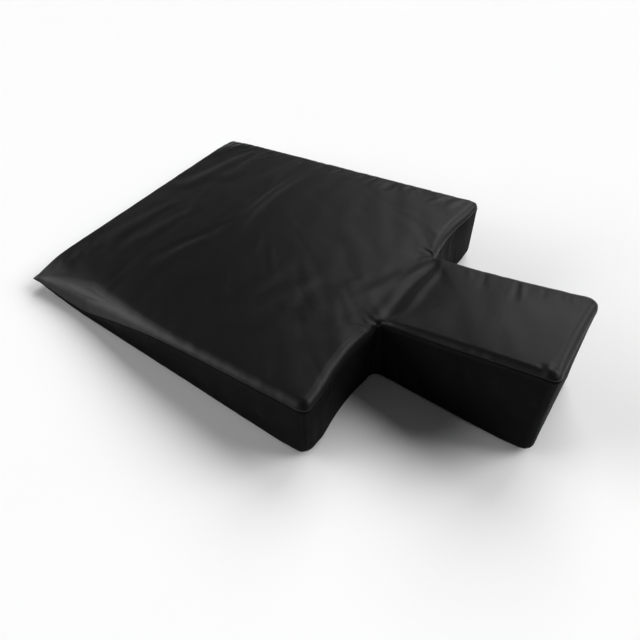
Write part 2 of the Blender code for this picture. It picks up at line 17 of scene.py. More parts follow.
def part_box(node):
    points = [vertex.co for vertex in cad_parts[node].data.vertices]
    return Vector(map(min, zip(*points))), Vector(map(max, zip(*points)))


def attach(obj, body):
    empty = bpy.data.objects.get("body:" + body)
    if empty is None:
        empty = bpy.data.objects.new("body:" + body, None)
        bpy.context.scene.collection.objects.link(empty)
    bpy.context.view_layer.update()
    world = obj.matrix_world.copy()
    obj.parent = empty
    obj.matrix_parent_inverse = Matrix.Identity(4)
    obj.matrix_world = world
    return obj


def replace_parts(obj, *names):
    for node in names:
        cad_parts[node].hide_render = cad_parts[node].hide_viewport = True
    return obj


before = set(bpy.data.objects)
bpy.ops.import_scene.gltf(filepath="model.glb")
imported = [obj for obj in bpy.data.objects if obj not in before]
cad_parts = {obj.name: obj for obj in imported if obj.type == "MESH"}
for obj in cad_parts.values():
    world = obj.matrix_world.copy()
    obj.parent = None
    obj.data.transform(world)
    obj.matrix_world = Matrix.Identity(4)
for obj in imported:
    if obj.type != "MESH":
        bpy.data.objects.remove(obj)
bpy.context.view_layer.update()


def place_object(name, data):
    """An object in the scene, with its mesh, its lamp or its camera."""
    made = bpy.data.objects.new(name, data)
    bpy.context.scene.collection.objects.link(made)
    return made


# Camera: stands at the thick end's near side and looks down on the cushion. Its place, turn and
# lens were found from the cushion's outline in the picture.
CAMERA_PLACE = (0.4219, -0.5899, 0.7495)
CAMERA_TARGET = (-0.0369, 0.0674, 0.0)
LENS_MM = 34.6
FRAME_SHIFT = -0.0859

camera = place_object("camera", bpy.data.cameras.new("camera"))
camera.location = CAMERA_PLACE
gaze = Vector(CAMERA_TARGET) - Vector(CAMERA_PLACE)
camera.rotation_euler = gaze.to_track_quat("-Z", "Y").to_euler()
camera.data.lens = LENS_MM
camera.data.sensor_width = 36
camera.data.shift_y = FRAME_SHIFT
camera.data.clip_start = 0.01
bpy.context.scene.camera = camera

# Foam core: a wedge block with a narrower tongue block bonded to its thick end, both cut from
# soft open-celled seating foam with a hot wire, so their faces are plain and their cells show.
WEDGE_LENGTH = 0.566
WEDGE_WIDTH = 0.510
TONGUE_LENGTH = 0.240
TONGUE_WIDTH = 0.163
THIN_EDGE_HEIGHT = 0.040
THICK_END_HEIGHT = 0.115
TONGUE_END_HEIGHT = 0.168
WEDGE_CROWN = 0.007
TONGUE_CROWN = 0.004
SLOPE_CHANGE_LENGTH = 0.020
SIDE_HOLLOW = 0.003
SHOULDER_HOLLOW = 0.006
SHOULDER_HOLLOW_SHARE = 0.8
SHOULDER_HOLLOW_POWER = 1.4
SHOULDER_HOLLOW_REACH = 0.080
CORNER_LIFT = 0.007
CORNER_LIFT_REACH = 0.030
OUTER_CORNER_RADIUS = 0.018
THIN_CORNER_RADIUS = 0.012
INNER_CORNER_RADIUS = 0.012
TOP_EDGE_RADIUS = 0.012
END_TOP_EDGE_RADIUS = 0.014
END_EDGE_SWELL = 0.003
THIN_TOP_EDGE_RADIUS = 0.008
SLACK_TOP_EDGE_RADIUS = 0.045
SLACK_EDGE_LENGTH = 0.360
LEAST_SLACK = 0.12
TOP_RADIUS_SHARE = 0.70
SLACK_RADIUS_SHARE = 0.10
TIP_RADIUS_SHARE = 0.8
TIP_RADIUS_GROWTH = 0.7
BASE_EDGE_RADIUS = 0.008
BASE_RADIUS_SHARE = 0.18
TIP_REACH = 0.055
NEAR_TIP_DROP = 0.003
FAR_TIP_DROP = 0.006
FAR_TIP_LIFT = 0.009
NEAR_TIP_LIFT = 0.024
NEAR_TIP_LIFT_LENGTH = 0.150
NEAR_EDGE_DROP = 0.012
NEAR_EDGE_DROP_REACH = 0.075
FOAM_INSET = 0.0044
FOAM_TIP_INSET = 0.0040
FOAM_BOND_GAP = 0.0003
FOAM_CORNER_RADIUS = 0.014
FOAM_THIN_CORNER_RADIUS = 0.050
FOAM_GRID = 0.012
GRID_MARGIN = 0.45
FOAM_STEP = 0.008
FOAM_ROUND_ROWS = 4
FOAM_SIDE_ROWS = 10
CELL_SIZE = 0.0014

end_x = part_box("cover_tongue_end")[1].x
shoulder_x = end_x - TONGUE_LENGTH
thin_x = shoulder_x - WEDGE_LENGTH
half_wedge = WEDGE_WIDTH / 2
half_tongue = TONGUE_WIDTH / 2
wedge_slope = (THICK_END_HEIGHT - THIN_EDGE_HEIGHT) / WEDGE_LENGTH
tongue_slope = (TONGUE_END_HEIGHT - THICK_END_HEIGHT) / TONGUE_LENGTH


def bump(share):
    """One in the middle of a run, zero at both ends and past them."""
    inside = np.clip(share, 0.0, 1.0)
    return 4 * inside * (1 - inside)


def ease(share):
    """A share from zero to one, with a soft start and a soft end."""
    return share**2 * (3 - 2 * share)


def pinch(x, y, length=TIP_REACH):
    """How much a point shares in the nearer pinched corner of the thin edge, from zero to one."""
    away = np.hypot((x - thin_x) / length, (half_wedge - abs(y)) / TIP_REACH)
    return np.maximum(1.0 - away, 0.0) ** 2


def slackness(x, y):
    """How loosely the cloth lies over the near edge: one at the thin edge, less towards the thick end."""
    share = np.clip((x - thin_x) / SLACK_EDGE_LENGTH, 0, 1)
    least = LEAST_SLACK * np.clip((abs(y) - half_tongue) / (half_wedge - half_tongue), 0, 1)
    return (least + (1 - least) * (1 - ease(share))) * (y < 0)


def top_height(x, y):
    """Height of the top at points in plan, where the two slopes meet in a soft bend."""
    past = x - shoulder_x
    bend = np.clip(past + SLOPE_CHANGE_LENGTH, 0, 2 * SLOPE_CHANGE_LENGTH) ** 2 / (4 * SLOPE_CHANGE_LENGTH)
    rise = np.where(past > SLOPE_CHANGE_LENGTH, past, bend)
    height = THIN_EDGE_HEIGHT + wedge_slope * (x - thin_x) + (tongue_slope - wedge_slope) * rise
    height = height + WEDGE_CROWN * bump((x - thin_x) / WEDGE_LENGTH) * bump((y + half_wedge) / WEDGE_WIDTH)
    height = height + TONGUE_CROWN * bump(past / TONGUE_LENGTH) * bump((y + half_tongue) / TONGUE_WIDTH)
    beside_edge = np.maximum(1.0 - (y + half_wedge) / NEAR_EDGE_DROP_REACH, 0.0)
    height = height - NEAR_EDGE_DROP * slackness(x, y) * beside_edge**2
    return height - np.where(y < 0, NEAR_TIP_DROP, FAR_TIP_DROP) * pinch(x, y)


def base_height(x, y):
    """Height of the underside, which lies on the floor and is lifted a little at its outer corners."""
    tips = np.where(y < 0, NEAR_TIP_LIFT * pinch(x, y, NEAR_TIP_LIFT_LENGTH), FAR_TIP_LIFT * pinch(x, y))
    to_wedge_corner = np.hypot(x - shoulder_x, half_wedge - abs(y))
    to_tongue_corner = np.hypot(x - end_x, half_tongue - abs(y))
    to_corner = np.minimum(to_wedge_corner, to_tongue_corner)
    return tips + CORNER_LIFT * np.exp(-(to_corner / CORNER_LIFT_REACH) ** 2)


def shoulders_drawn_in(points):
    """The points, with the shoulders drawn in beside the tongue, most near the inner corners."""
    x, y = points[:, 0], points[:, 1]
    share = np.clip(1 - (shoulder_x - x) / SHOULDER_HOLLOW_REACH, 0, 1)
    moved = points.copy()
    across = bump((abs(y) - half_tongue) / (half_wedge - half_tongue) / SHOULDER_HOLLOW_SHARE)
    moved[:, 0] -= SHOULDER_HOLLOW * across**SHOULDER_HOLLOW_POWER * ease(share)
    return moved


class Outline:
    """A closed plan outline, counterclockwise, of straight runs joined by corner arcs."""

    def __init__(self, corners):
        spots = [np.array(corner[:2], float) for corner in corners]
        arcs, self.pieces = [], []
        for i, spot in enumerate(spots):
            radius = corners[i][2]
            before = (spots[i - 1] - spot) / np.linalg.norm(spots[i - 1] - spot)
            after = spots[(i + 1) % len(spots)] - spot
            after = after / np.linalg.norm(after)
            outwards = 1 if before[0] * after[1] - before[1] * after[0] < 0 else -1
            centre = spot + (before + after) * radius
            arcs.append((spot + before * radius, spot + after * radius, centre, radius, outwards))
        for i in range(len(spots)):
            following = arcs[(i + 1) % len(spots)]
            self.pieces += [(arcs[i][1], following[0]), following]
        lengths = [
            float(np.linalg.norm(piece[1] - piece[0])) if len(piece) == 2 else piece[3] * math.pi / 2
            for piece in self.pieces
        ]
        self.starts = np.concatenate([[0.0], np.cumsum(lengths)])
        self.length = float(self.starts[-1])

    def middle_of_arc(self, corner):
        """Where the arc at a corner has its middle."""
        return float(self.starts[2 * corner - 1] + self.starts[2 * corner]) / 2

    def at(self, places):
        """Points at distances along the outline, and their outward normals."""
        places = np.mod(places, self.length)
        points, normals = np.zeros((*places.shape, 2)), np.zeros((*places.shape, 2))
        for piece, start, finish in zip(self.pieces, self.starts, self.starts[1:]):
            here = (places >= start) & (places < finish)
            share = ((places[here] - start) / (finish - start))[:, None]
            first, last = piece[:2]
            if len(piece) == 2:
                along = (last - first) / np.linalg.norm(last - first)
                points[here] = first + (last - first) * share
                normals[here] = (along[1], -along[0])
            else:
                centre, radius, outwards = piece[2:]
                angle = share * math.pi / 2
                ray = (first - centre) * np.cos(angle) + (last - centre) * np.sin(angle)
                points[here] = centre + ray
                normals[here] = outwards * ray / radius
        return points, normals


def edge_radii(points, normals):
    """Radii of the rounding at the top and base edges beside points of an outline."""
    x, y = points[..., 0], points[..., 1]
    slack = slackness(x, y)
    side = TOP_EDGE_RADIUS + (SLACK_TOP_EDGE_RADIUS - TOP_EDGE_RADIUS) * slack
    on_tongue = x > (shoulder_x + end_x) / 2
    along_end = (1 - abs(y) / half_tongue) / 2
    along_shoulder = (abs(y) - half_tongue) / (half_wedge - half_tongue)
    swell = bump(np.where(on_tongue, along_end, along_shoulder))
    end = np.where(normals[..., 0] < 0, THIN_TOP_EDGE_RADIUS, END_TOP_EDGE_RADIUS + END_EDGE_SWELL * swell)
    top = side * normals[..., 1] ** 2 + end * normals[..., 0] ** 2
    tall = top_height(x, y) - base_height(x, y)
    past_tip = np.maximum(np.hypot(x - thin_x, half_wedge - abs(y)) - THIN_CORNER_RADIUS, 0.0)
    most = np.minimum(
        (TOP_RADIUS_SHARE + SLACK_RADIUS_SHARE * slack) * tall,
        TIP_RADIUS_SHARE * THIN_CORNER_RADIUS + TIP_RADIUS_GROWTH * past_tip,
    )
    return np.minimum(top, most), np.minimum(BASE_EDGE_RADIUS, BASE_RADIUS_SHARE * tall)


def on_top_round(outline, places, angle):
    """Points and normals on the top edge's rounding: angle zero at the side, a right angle on top."""
    points, normals = outline.at(places)
    radius = edge_radii(points, normals)[0]
    spots = points - normals * (radius * (1 - np.cos(angle)))[..., None]
    height = top_height(spots[..., 0], spots[..., 1]) - radius * (1 - np.sin(angle))
    facing = np.concatenate([normals * np.cos(angle)[..., None], np.sin(angle)[..., None]], -1)
    return np.concatenate([spots, height[..., None]], -1), facing


def on_base_round(outline, places, angle):
    """Points and normals on the base edge's rounding: angle zero below, a right angle at the side."""
    points, normals = outline.at(places)
    radius = edge_radii(points, normals)[1]
    spots = points - normals * (radius * (1 - np.sin(angle)))[..., None]
    height = base_height(spots[..., 0], spots[..., 1]) + radius * (1 - np.cos(angle))
    facing = np.concatenate([normals * np.sin(angle)[..., None], -np.cos(angle)[..., None]], -1)
    return np.concatenate([spots, height[..., None]], -1), facing


def side_hollow(points, normals):
    """How far a side is drawn in between its corners."""
    x, y = points[..., 0], points[..., 1]
    along_wedge = bump((x - thin_x) / WEDGE_LENGTH)
    along_tongue = bump((x - shoulder_x) / TONGUE_LENGTH)
    long_side = np.where(x < shoulder_x, along_wedge, along_tongue) * abs(normals[..., 1])
    at_end = np.where(x > (shoulder_x + end_x) / 2, bump((y + half_tongue) / TONGUE_WIDTH), 0.0)
    return SIDE_HOLLOW * (long_side + at_end * np.maximum(normals[..., 0], 0.0))


def on_side(outline, places, share):
    """Points and normals on the side: share zero at the base's rounding and one at the top's."""
    points, normals = outline.at(places)
    top, base = edge_radii(points, normals)
    low = base_height(points[..., 0], points[..., 1]) + base
    high = top_height(points[..., 0], points[..., 1]) - top
    spots = points - normals * (side_hollow(points, normals) * bump(share))[..., None]
    height = low + (high - low) * share
    facing = np.concatenate([normals, np.zeros((*places.shape, 1))], -1)
    return np.concatenate([spots, height[..., None]], -1), facing


def grid_triangles(row_count, column_count, closed=False):
    """Triangles of points listed row by row, where a closed grid joins its last column to its first."""
    steps = column_count if closed else column_count - 1
    rows, columns = np.meshgrid(np.arange(row_count - 1), np.arange(steps), indexing="ij")
    here = (rows * column_count + columns).ravel()
    right = (rows * column_count + (columns + 1) % column_count).ravel()
    return np.vstack([
        np.stack([here, right, right + column_count], 1),
        np.stack([here, right + column_count, here + column_count], 1),
    ])


def inside_loop(spots, loop, margin):
    """The spots that lie inside a closed loop, and at least a margin from it."""
    steps = np.roll(loop, -1, axis=0) - loop
    kept = np.zeros(len(spots), bool)
    at_once = 4000
    for start in range(0, len(spots), at_once):
        some = spots[start:start + at_once, None, :]
        crosses = (loop[:, 1] > some[..., 1]) != (loop[:, 1] + steps[:, 1] > some[..., 1])
        rising = np.where(steps[:, 1] == 0, 1, steps[:, 1])
        meets = loop[:, 0] + steps[:, 0] * (some[..., 1] - loop[:, 1]) / rising
        odd = np.count_nonzero(crosses & (meets > some[..., 0]), axis=1) % 2 == 1
        share = np.clip(((some - loop) * steps).sum(-1) / (steps**2).sum(-1), 0, 1)
        away = np.linalg.norm(some - loop - share[..., None] * steps, axis=-1).min(1)
        kept[start:start + at_once] = odd & (away > margin)
    return spots[kept]


def fill_loop(loop, spacing):
    """Plan points of a square grid inside a loop, and triangles over the loop's points and the grid's."""
    xs = np.arange(loop[:, 0].min(), loop[:, 0].max(), spacing)
    ys = np.arange(loop[:, 1].min(), loop[:, 1].max(), spacing)
    grid = np.stack(np.meshgrid(xs, ys, indexing="ij"), -1).reshape(-1, 2)
    grid = inside_loop(grid, loop, spacing * GRID_MARGIN)
    flat = np.vstack([loop, grid])
    rim = [(i, (i + 1) % len(loop)) for i in range(len(loop))]
    made = delaunay_2d_cdt([Vector(spot) for spot in flat], rim, [], 1, 1e-7)
    source = np.array([originals[0] for originals in made[3]])
    return grid, source[np.array(made[2])]


def finder(spots):
    """A tree that finds the nearest of some points."""
    made = KDTree(len(spots))
    for i, spot in enumerate(spots):
        made.insert(spot, i)
    made.balance()
    return made


def facing_out(points, normals, triangles):
    """The triangles, each turned to look along its own corners' normals."""
    corners = points[triangles]
    across = np.cross(corners[:, 1] - corners[:, 0], corners[:, 2] - corners[:, 0])
    wrong = (across * normals[triangles].sum(1)).sum(1) < 0
    return np.where(wrong[:, None], triangles[:, ::-1], triangles)


def new_object(name, points, faces, look=None, edges=()):
    """A mesh object at the origin, shaded smooth."""
    mesh = bpy.data.meshes.new(name)
    faces = faces.tolist() if isinstance(faces, np.ndarray) else faces
    mesh.from_pydata(np.asarray(points).tolist(), edges, faces)
    mesh.shade_smooth()
    if look:
        mesh.materials.append(look)
    return place_object(name, mesh)


def srgb(code):
    """A six-digit hex colour as the linear values that shaders take."""
    shares = [int(code[i:i + 2], 16) / 255 for i in (1, 3, 5)]
    return (*[s / 12.92 if s <= 0.04045 else ((s + 0.055) / 1.055) ** 2.4 for s in shares], 1.0)


def set_inputs(tree, node, **inputs):
    """Sets a node's inputs. Each gets a value, or is linked to another node's output."""
    for key, value in inputs.items():
        socket = node.inputs[int(key[1:])] if key[1:].isdigit() else node.inputs[key.replace("_", " ")]
        if isinstance(value, bpy.types.NodeSocket):
            tree.links.new(value, socket)
        else:
            socket.default_value = value


def add_node(tree, kind, settings=None, **inputs):
    """A node with its settings and inputs."""
    node = tree.nodes.new(kind)
    for key, value in (settings or {}).items():
        setattr(node, key, value)
    set_inputs(tree, node, **inputs)
    return node


def start_material(name):
    """An empty material, its tree, its Principled shader linked to the output, and the place on the object."""
    made = bpy.data.materials.new(name)
    made.use_nodes = True
    tree = made.node_tree
    tree.nodes.clear()
    shader = add_node(tree, "ShaderNodeBsdfPrincipled")
    add_node(tree, "ShaderNodeOutputMaterial", Surface=shader.outputs[0])
    return made, tree, shader, add_node(tree, "ShaderNodeTexCoord").outputs["Object"]


# A wave texture repeats every 0.31416 metres divided by its scale
WAVE_LENGTH = 0.31416
# A noise texture stays between these levels nearly everywhere
NOISE_LOW = 0.3
NOISE_HIGH = 0.7


def noise(tree, spot, scale, detail, roughness=0.5):
    """The level of a noise texture."""
    values = {"Vector": spot, "Scale": scale, "Detail": detail, "Roughness": roughness}
    return add_node(tree, "ShaderNodeTexNoise", **values).outputs["Fac"]


def waves(tree, spot, way, length):
    """The level of a wave texture, whose bands stand a length apart."""
    bands = {"bands_direction": way}
    return add_node(tree, "ShaderNodeTexWave", bands, Vector=spot, Scale=WAVE_LENGTH / length).outputs["Fac"]


def product(tree, first, second):
    """Two values multiplied."""
    return add_node(tree, "ShaderNodeMath", {"operation": "MULTIPLY"}, i0=first, i1=second).outputs[0]


def mixed(tree, share, first, second):
    """The colour at a share of the way from one to another. Each is a hex code or a node's output."""
    ends = [srgb(end) if isinstance(end, str) else end for end in (first, second)]
    return add_node(tree, "ShaderNodeMix", {"data_type": "RGBA"}, i0=share, i6=ends[0], i7=ends[1]).outputs[2]


def ranged(tree, level, first, last, low=NOISE_LOW, high=NOISE_HIGH):
    """A value that goes from first to last while the level goes from low to high."""
    return add_node(tree, "ShaderNodeMapRange", i0=level, i1=low, i2=high, i3=first, i4=last).outputs[0]


def relief(tree, height, strength, distance, **under):
    """The normal over a fine relief, which may lie over another one."""
    values = {"Strength": strength, "Distance": distance, "Height": height, **under}
    return add_node(tree, "ShaderNodeBump", **values).outputs[0]


# Open-celled polyurethane foam, cut with a hot wire: charcoal grey, quite matt, pitted by cells of
# about 1.4 mm, with broader tone changes where the block has yellowed a little.
foam_material, tree, shader, spot = start_material("open_cell_foam")
cells = add_node(tree, "ShaderNodeTexVoronoi", Vector=spot, Scale=1 / CELL_SIZE)
tone = mixed(tree, noise(tree, spot, scale=9.0, detail=3.0), "#3a3b3d", "#45443f")
pits = relief(tree, cells.outputs["Distance"], strength=0.8, distance=0.0004)
set_inputs(tree, shader, Base_Color=tone, Normal=pits, Roughness=0.95, Specular_IOR_Level=0.2)


def add_cap(points, normals, ring, upper, spacing):
    """The points and normals with a grid at the top's or base's height inside a ring, and its triangles."""
    grid, inner = fill_loop(points[ring, :2], spacing)
    height = (top_height if upper else base_height)(grid[:, 0], grid[:, 1])
    source = np.concatenate([ring, len(points) + np.arange(len(grid))])
    points = np.vstack([points, np.column_stack([grid, height])])
    normals = np.vstack([normals, np.tile((0, 0, 1 if upper else -1), (len(grid), 1))])
    return points, normals, source[inner]


def closed_form(outline, places, base_turns, side_shares, top_turns, spacing):
    """The cushion's form over an outline as a closed mesh: rows from the floor up, then the base and top."""
    wide = len(places)
    rows = [
        on_base_round(outline, np.tile(places, (len(base_turns), 1)), base_turns),
        on_side(outline, np.tile(places, (len(side_shares), 1)), np.tile(side_shares[:, None], (1, wide))),
        on_top_round(outline, np.tile(places, (len(top_turns), 1)), top_turns),
    ]
    points = np.concatenate([row[0].reshape(-1, 3) for row in rows])
    normals = np.concatenate([row[1].reshape(-1, 3) for row in rows])
    row_count = len(points) // wide
    triangles = [grid_triangles(row_count, wide, closed=True)]
    for upper in (False, True):
        ring = np.arange(wide) + ((row_count - 1) * wide if upper else 0)
        points, normals, inner = add_cap(points, normals, ring, upper, spacing)
        triangles.append(inner)
    return points, normals, facing_out(points, normals, np.vstack(triangles))


def add_foam(name, outline):
    """A foam block: the cushion's form moved inside the cover."""
    places = np.arange(0, outline.length, FOAM_STEP)
    quarter = np.tile(np.linspace(0, math.pi / 2, FOAM_ROUND_ROWS)[:, None], (1, len(places)))
    shares = np.linspace(0, 1, FOAM_SIDE_ROWS)[1:-1]
    points, normals, triangles = closed_form(outline, places, quarter, shares, quarter, FOAM_GRID)
    depth = FOAM_INSET + FOAM_TIP_INSET * pinch(points[:, 0], points[:, 1])
    made = new_object(name, shoulders_drawn_in(points - normals * depth[:, None]), triangles, foam_material)
    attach(made, "cushion")
    return made


bond_x = shoulder_x - 2 * FOAM_INSET + FOAM_BOND_GAP
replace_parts(add_foam("wedge_foam_block", Outline([
    (thin_x, half_wedge, FOAM_THIN_CORNER_RADIUS),
    (thin_x, -half_wedge, FOAM_THIN_CORNER_RADIUS),
    (shoulder_x, -half_wedge, OUTER_CORNER_RADIUS),
    (shoulder_x, half_wedge, OUTER_CORNER_RADIUS),
])), "wedge_foam")
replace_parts(add_foam("tongue_foam_block", Outline([
    (bond_x, half_tongue, FOAM_CORNER_RADIUS),
    (bond_x, -half_tongue, FOAM_CORNER_RADIUS),
    (end_x, -half_tongue, OUTER_CORNER_RADIUS),
    (end_x, half_tongue, OUTER_CORNER_RADIUS),
])), "tongue_foam")

# Cover: cut from stretch cloth with a black polyurethane coating, a top and a base panel and nine
# side panels. They are sewn face to face and turned, so every seam is a fine groove with the
# cloth's edges inside, and the cloth is pulled over the foam in folds from its corners.
COVER_THICKNESS = 0.0012
SEAM_GAP = 0.0003
UPRIGHT_SEAM_GAP = 0.0001
UPRIGHT_SEAM_SHARE = 0.3
ALLOWANCE = 0.005
GROOVE_DEPTH = 0.0005
GROOVE_WIDTH = 0.0009
SEAM_ROLL = 0.0002
SEAM_ROLL_PLACE = 0.0034
SEAM_ROLL_WIDTH = 0.0022
BASE_SEAM_SHARE = 0.6
# The rub mask also paints a highlight: it greys the cloth's colour along the seam rolls and on fold crests
RUB_AND_HIGHLIGHT_WIDTH = 0.0025
SEAM_RUB_AND_HIGHLIGHT = 0.8
TOP_CREST_RUB_AND_HIGHLIGHT = 0.5
SIDE_CREST_RUB_AND_HIGHLIGHT = 0.4
RUBBED_AND_HIGHLIT_HEIGHT = 0.0015
RUBBED_GLOSS = 0.08
DEEPEST_FOLD = 0.001
SEAM_STEPS = np.array((0, 0.0003, 0.0007, 0.0012, 0.0019, 0.0030, 0.0046))
SEAM_TURN = math.pi / 4
TOP_SEAM_TURN = 0.45
END_SEAM_TURN = 0.15
SLACK_SEAM_SHARE = 0.08
TOP_GRID = 0.0022
TOP_ROUND_ROWS = 18
BASE_ROUND_ROWS = 3
SIDE_GRID = 0.0026
SIDE_SWELL = 0.0008
SIDE_SWELL_REACH = 0.03
BASE_GRID = 0.0070
LINING_GRID = 0.014
LINING_DEPTH = 0.0026
LINING_SETBACK = 0.002
TURNED_SHARE = 0.8
BACK_SHARE = 0.9
CAP_STEP_SHARE = 0.8
BAND_STEP_SHARE = 0.4
FOLD_HOLD_REACH = 0.012
HELD_FOLD_SHARE = 0.25
BASE_PUCKER_START = 0.004
BASE_FLAT_FROM = 0.0045
LOWER_PUCKER_SHARE = 0.8
HEM_DISTANCE = 1.0
ZIP_END_CLEARANCE = 0.043
TIP_PULL = 0.0215
TIP_PULL_REACH = 0.0039
CORNER_PULL = 0.006
CORNER_PULL_REACH = 0.009
TUCK = 0.5
TUCK_REACH = 0.050
TUCK_START = 0.012
TUCK_BLEND = 0.018
TUCK_LOW_SHARE = 0.15
TUCK_RISE_SHARE = 0.65
THREAD_SPACING = 0.0006
GRAIN_SIZE = 0.0009

cover_outline = Outline([
    (thin_x, half_wedge, THIN_CORNER_RADIUS),
    (thin_x, -half_wedge, THIN_CORNER_RADIUS),
    (shoulder_x, -half_wedge, OUTER_CORNER_RADIUS),
    (shoulder_x, -half_tongue, INNER_CORNER_RADIUS),
    (end_x, -half_tongue, OUTER_CORNER_RADIUS),
    (end_x, half_tongue, OUTER_CORNER_RADIUS),
    (shoulder_x, half_tongue, INNER_CORNER_RADIUS),
    (shoulder_x, half_wedge, OUTER_CORNER_RADIUS),
])
half_band = half_wedge - THIN_CORNER_RADIUS - ZIP_END_CLEARANCE
thin_run = half_wedge - THIN_CORNER_RADIUS
band_seams = [thin_run - half_band, thin_run + half_band]
corner_seams = [cover_outline.middle_of_arc(corner) for corner in (2, 3, 4, 5, 6, 7)]
seams = band_seams + corner_seams
stops = sorted(seams)
seam_runs = list(zip(stops, stops[1:] + [stops[0] + cover_outline.length]))

# Polyurethane-coated cloth: near-black, satin and slightly rubbery. The knit under the coating
# shows through as a fine mesh, the coating has a fine grain, and it is rubbed a little shinier
# along the seams and fold crests. Its colour is also painted greyer there, which is partly wear and
# partly a painted highlight. The sides get a copy with its reflection turned nearly off and a more
# matt finish, which is painted shade that keeps them dark.
def coated_cloth(name, duller, shinier, gloss_level):
    """The cloth, with its roughness between two levels."""
    made, tree, shader, spot = start_material(name)
    cut = add_node(tree, "ShaderNodeUVMap", {"uv_map": "cloth"}).outputs[0]
    rub_and_highlight = add_node(tree, "ShaderNodeAttribute", {"attribute_name": "rub_and_highlight"}).outputs["Fac"]
    clouds = noise(tree, spot, scale=14.0, detail=4.0, roughness=0.6)
    grain = noise(tree, spot, scale=1 / GRAIN_SIZE, detail=3.0, roughness=0.6)
    knit = product(tree, waves(tree, cut, "X", THREAD_SPACING), waves(tree, cut, "Y", THREAD_SPACING))
    # Wear and painted highlight: where the rub mask is high, the colour goes greyer towards #1b1b1d and the
    # roughness drops
    rubbed_and_highlit = product(tree, rub_and_highlight, clouds)
    tone = mixed(tree, rubbed_and_highlit, mixed(tree, clouds, "#0a0a0b", "#0f0f11"), "#1b1b1d")
    finish = ranged(tree, clouds, duller, shinier)
    gloss = add_node(
        tree, "ShaderNodeMath", {"operation": "MULTIPLY_ADD"}, i0=rubbed_and_highlit, i1=-RUBBED_GLOSS, i2=finish,
    )
    fine = relief(tree, knit, strength=0.25, distance=0.00012)
    coarse = relief(tree, grain, strength=0.35, distance=0.00016, Normal=fine)
    set_inputs(tree, shader, Base_Color=tone, Roughness=gloss.outputs[0], Normal=coarse)
    shader.inputs["Specular IOR Level"].default_value = gloss_level
    return made


# Two copies of one cloth: the top's, and the sides'. The sides' copy is rougher and has its reflection turned
# nearly off, as painted shade that keeps the sides dark
top_cloth = coated_cloth("pu_coated_cloth_worn", 0.43, 0.37, 0.14)
shaded_side_cloth = coated_cloth("pu_coated_cloth_as_made", 0.60, 0.52, 0.02)

# Folds of the top panel, as (rise, width at the start, width at the end, path), in millimetres from
# the thin edge and from the middle line. A furrow has a rise below zero.
FOLD_SPREAD = 1.15
FOLD_REACH = 3.2
FURROW_SHARE = 0.3
FURROW_PLACE = 1.8
FURROW_WIDTH = 0.8
TOP_FOLDS = (
    (1.2, 6, 14, ((96, 241), (83, 203), (70, 159), (63, 111), (46, 49))),
    (1.1, 6, 14, ((106, 236), (109, 184), (115, 137), (104, 105))),
    (1.0, 6, 12, ((49, 243), (22, 213), (14, 174))),
    (0.8, 6, 14, ((197, 243), (193, 211), (188, 175), (188, 135))),
    (-0.8, 6, 9, ((218, 149), (214, 102), (218, 55), (227, 13), (236, -26), (244, -68))),
    (1.3, 7, 12, ((236, 190), (232, 148), (226, 115), (228, 80), (228, 33), (231, -10))),
    (-0.8, 6, 9, ((224, 18), (212, -19), (198, -56), (186, -80), (173, -125))),
    (1.1, 7, 12, ((213, -49), (197, -91), (193, -126), (182, -158))),
    (0.8, 7, 14, ((81, 20), (65, -42), (60, -83), (55, -123), (65, -160))),
    (0.7, 7, 14, ((129, 6), (118, -45), (112, -85), (102, -119), (98, -150))),
    (0.8, 4, 8, ((20, -205), (45, -231))),
    (0.7, 4, 8, ((29, -200), (57, -225))),
    (0.6, 4, 8, ((30, -177), (46, -198))),
    (0.6, 4, 8, ((23, -156), (62, -178))),
    (0.6, 4, 8, ((24, -131), (60, -156))),
    (0.7, 7, 12, ((392, -24), (380, -56), (373, -94), (367, -131), (363, -156))),
    (0.6, 6, 10, ((441, -90), (429, -129))),
    (1.4, 8, 12, ((576, 76), (549, 20), (532, -21), (516, -50), (495, -82), (460, -130))),
    (-0.9, 6, 9, ((580, 67), (574, 22), (569, -29), (575, -73), (582, -91))),
    (1.3, 6, 8, ((588, 64), (584, 15), (584, -28), (585, -68))),
    (1.2, 6, 8, ((570, 68), (557, 4), (558, -49), (560, -89))),
    (-0.7, 4, 8, ((567, 35), (556, -17), (557, -64))),
    (1.0, 9, 16, ((440, -32), (430, -80), (404, -123), (384, -172), (342, -212))),
    (0.8, 8, 14, ((505, -11), (486, -58), (460, -102))),
    (-0.5, 2, 5, ((651, 80), (655, 62), (662, 34))),
    (-0.6, 2, 5, ((697, 80), (701, 60), (711, 22))),
    (0.5, 2, 4, ((704, 80), (709, 62), (716, 38))),
    (-0.4, 2, 4, ((736, 80), (737, 66), (740, 46))),
    (0.4, 2, 4, ((630, 80), (633, 66), (640, 47))),
    (-0.4, 2, 4, ((756, 80), (758, 66), (761, 49))),
    (0.4, 2, 4, ((773, 80), (774, 68), (777, 54))),
    (1.3, 3, 6, ((791, -79), (783, -60))),
    (1.1, 3, 6, ((799, -70), (786, -66))),
    (-0.8, 2, 4, ((784, -76), (778, -62))),
    (1.0, 3, 6, ((584, -94), (574, -72))),
    (1.0, 3, 6, ((571, -103), (562, -84))),
)


def soften(path):
    """A path with its bends cut off twice, so that it curves."""
    path = np.array(path, float)
    for _ in range(2):
        quarter = path[:-1] * 0.75 + path[1:] * 0.25
        three_quarters = path[:-1] * 0.25 + path[1:] * 0.75
        between = np.stack([quarter, three_quarters], 1).reshape(-1, path.shape[1])
        path = np.vstack([path[:1], between, path[-1:]])
    return path


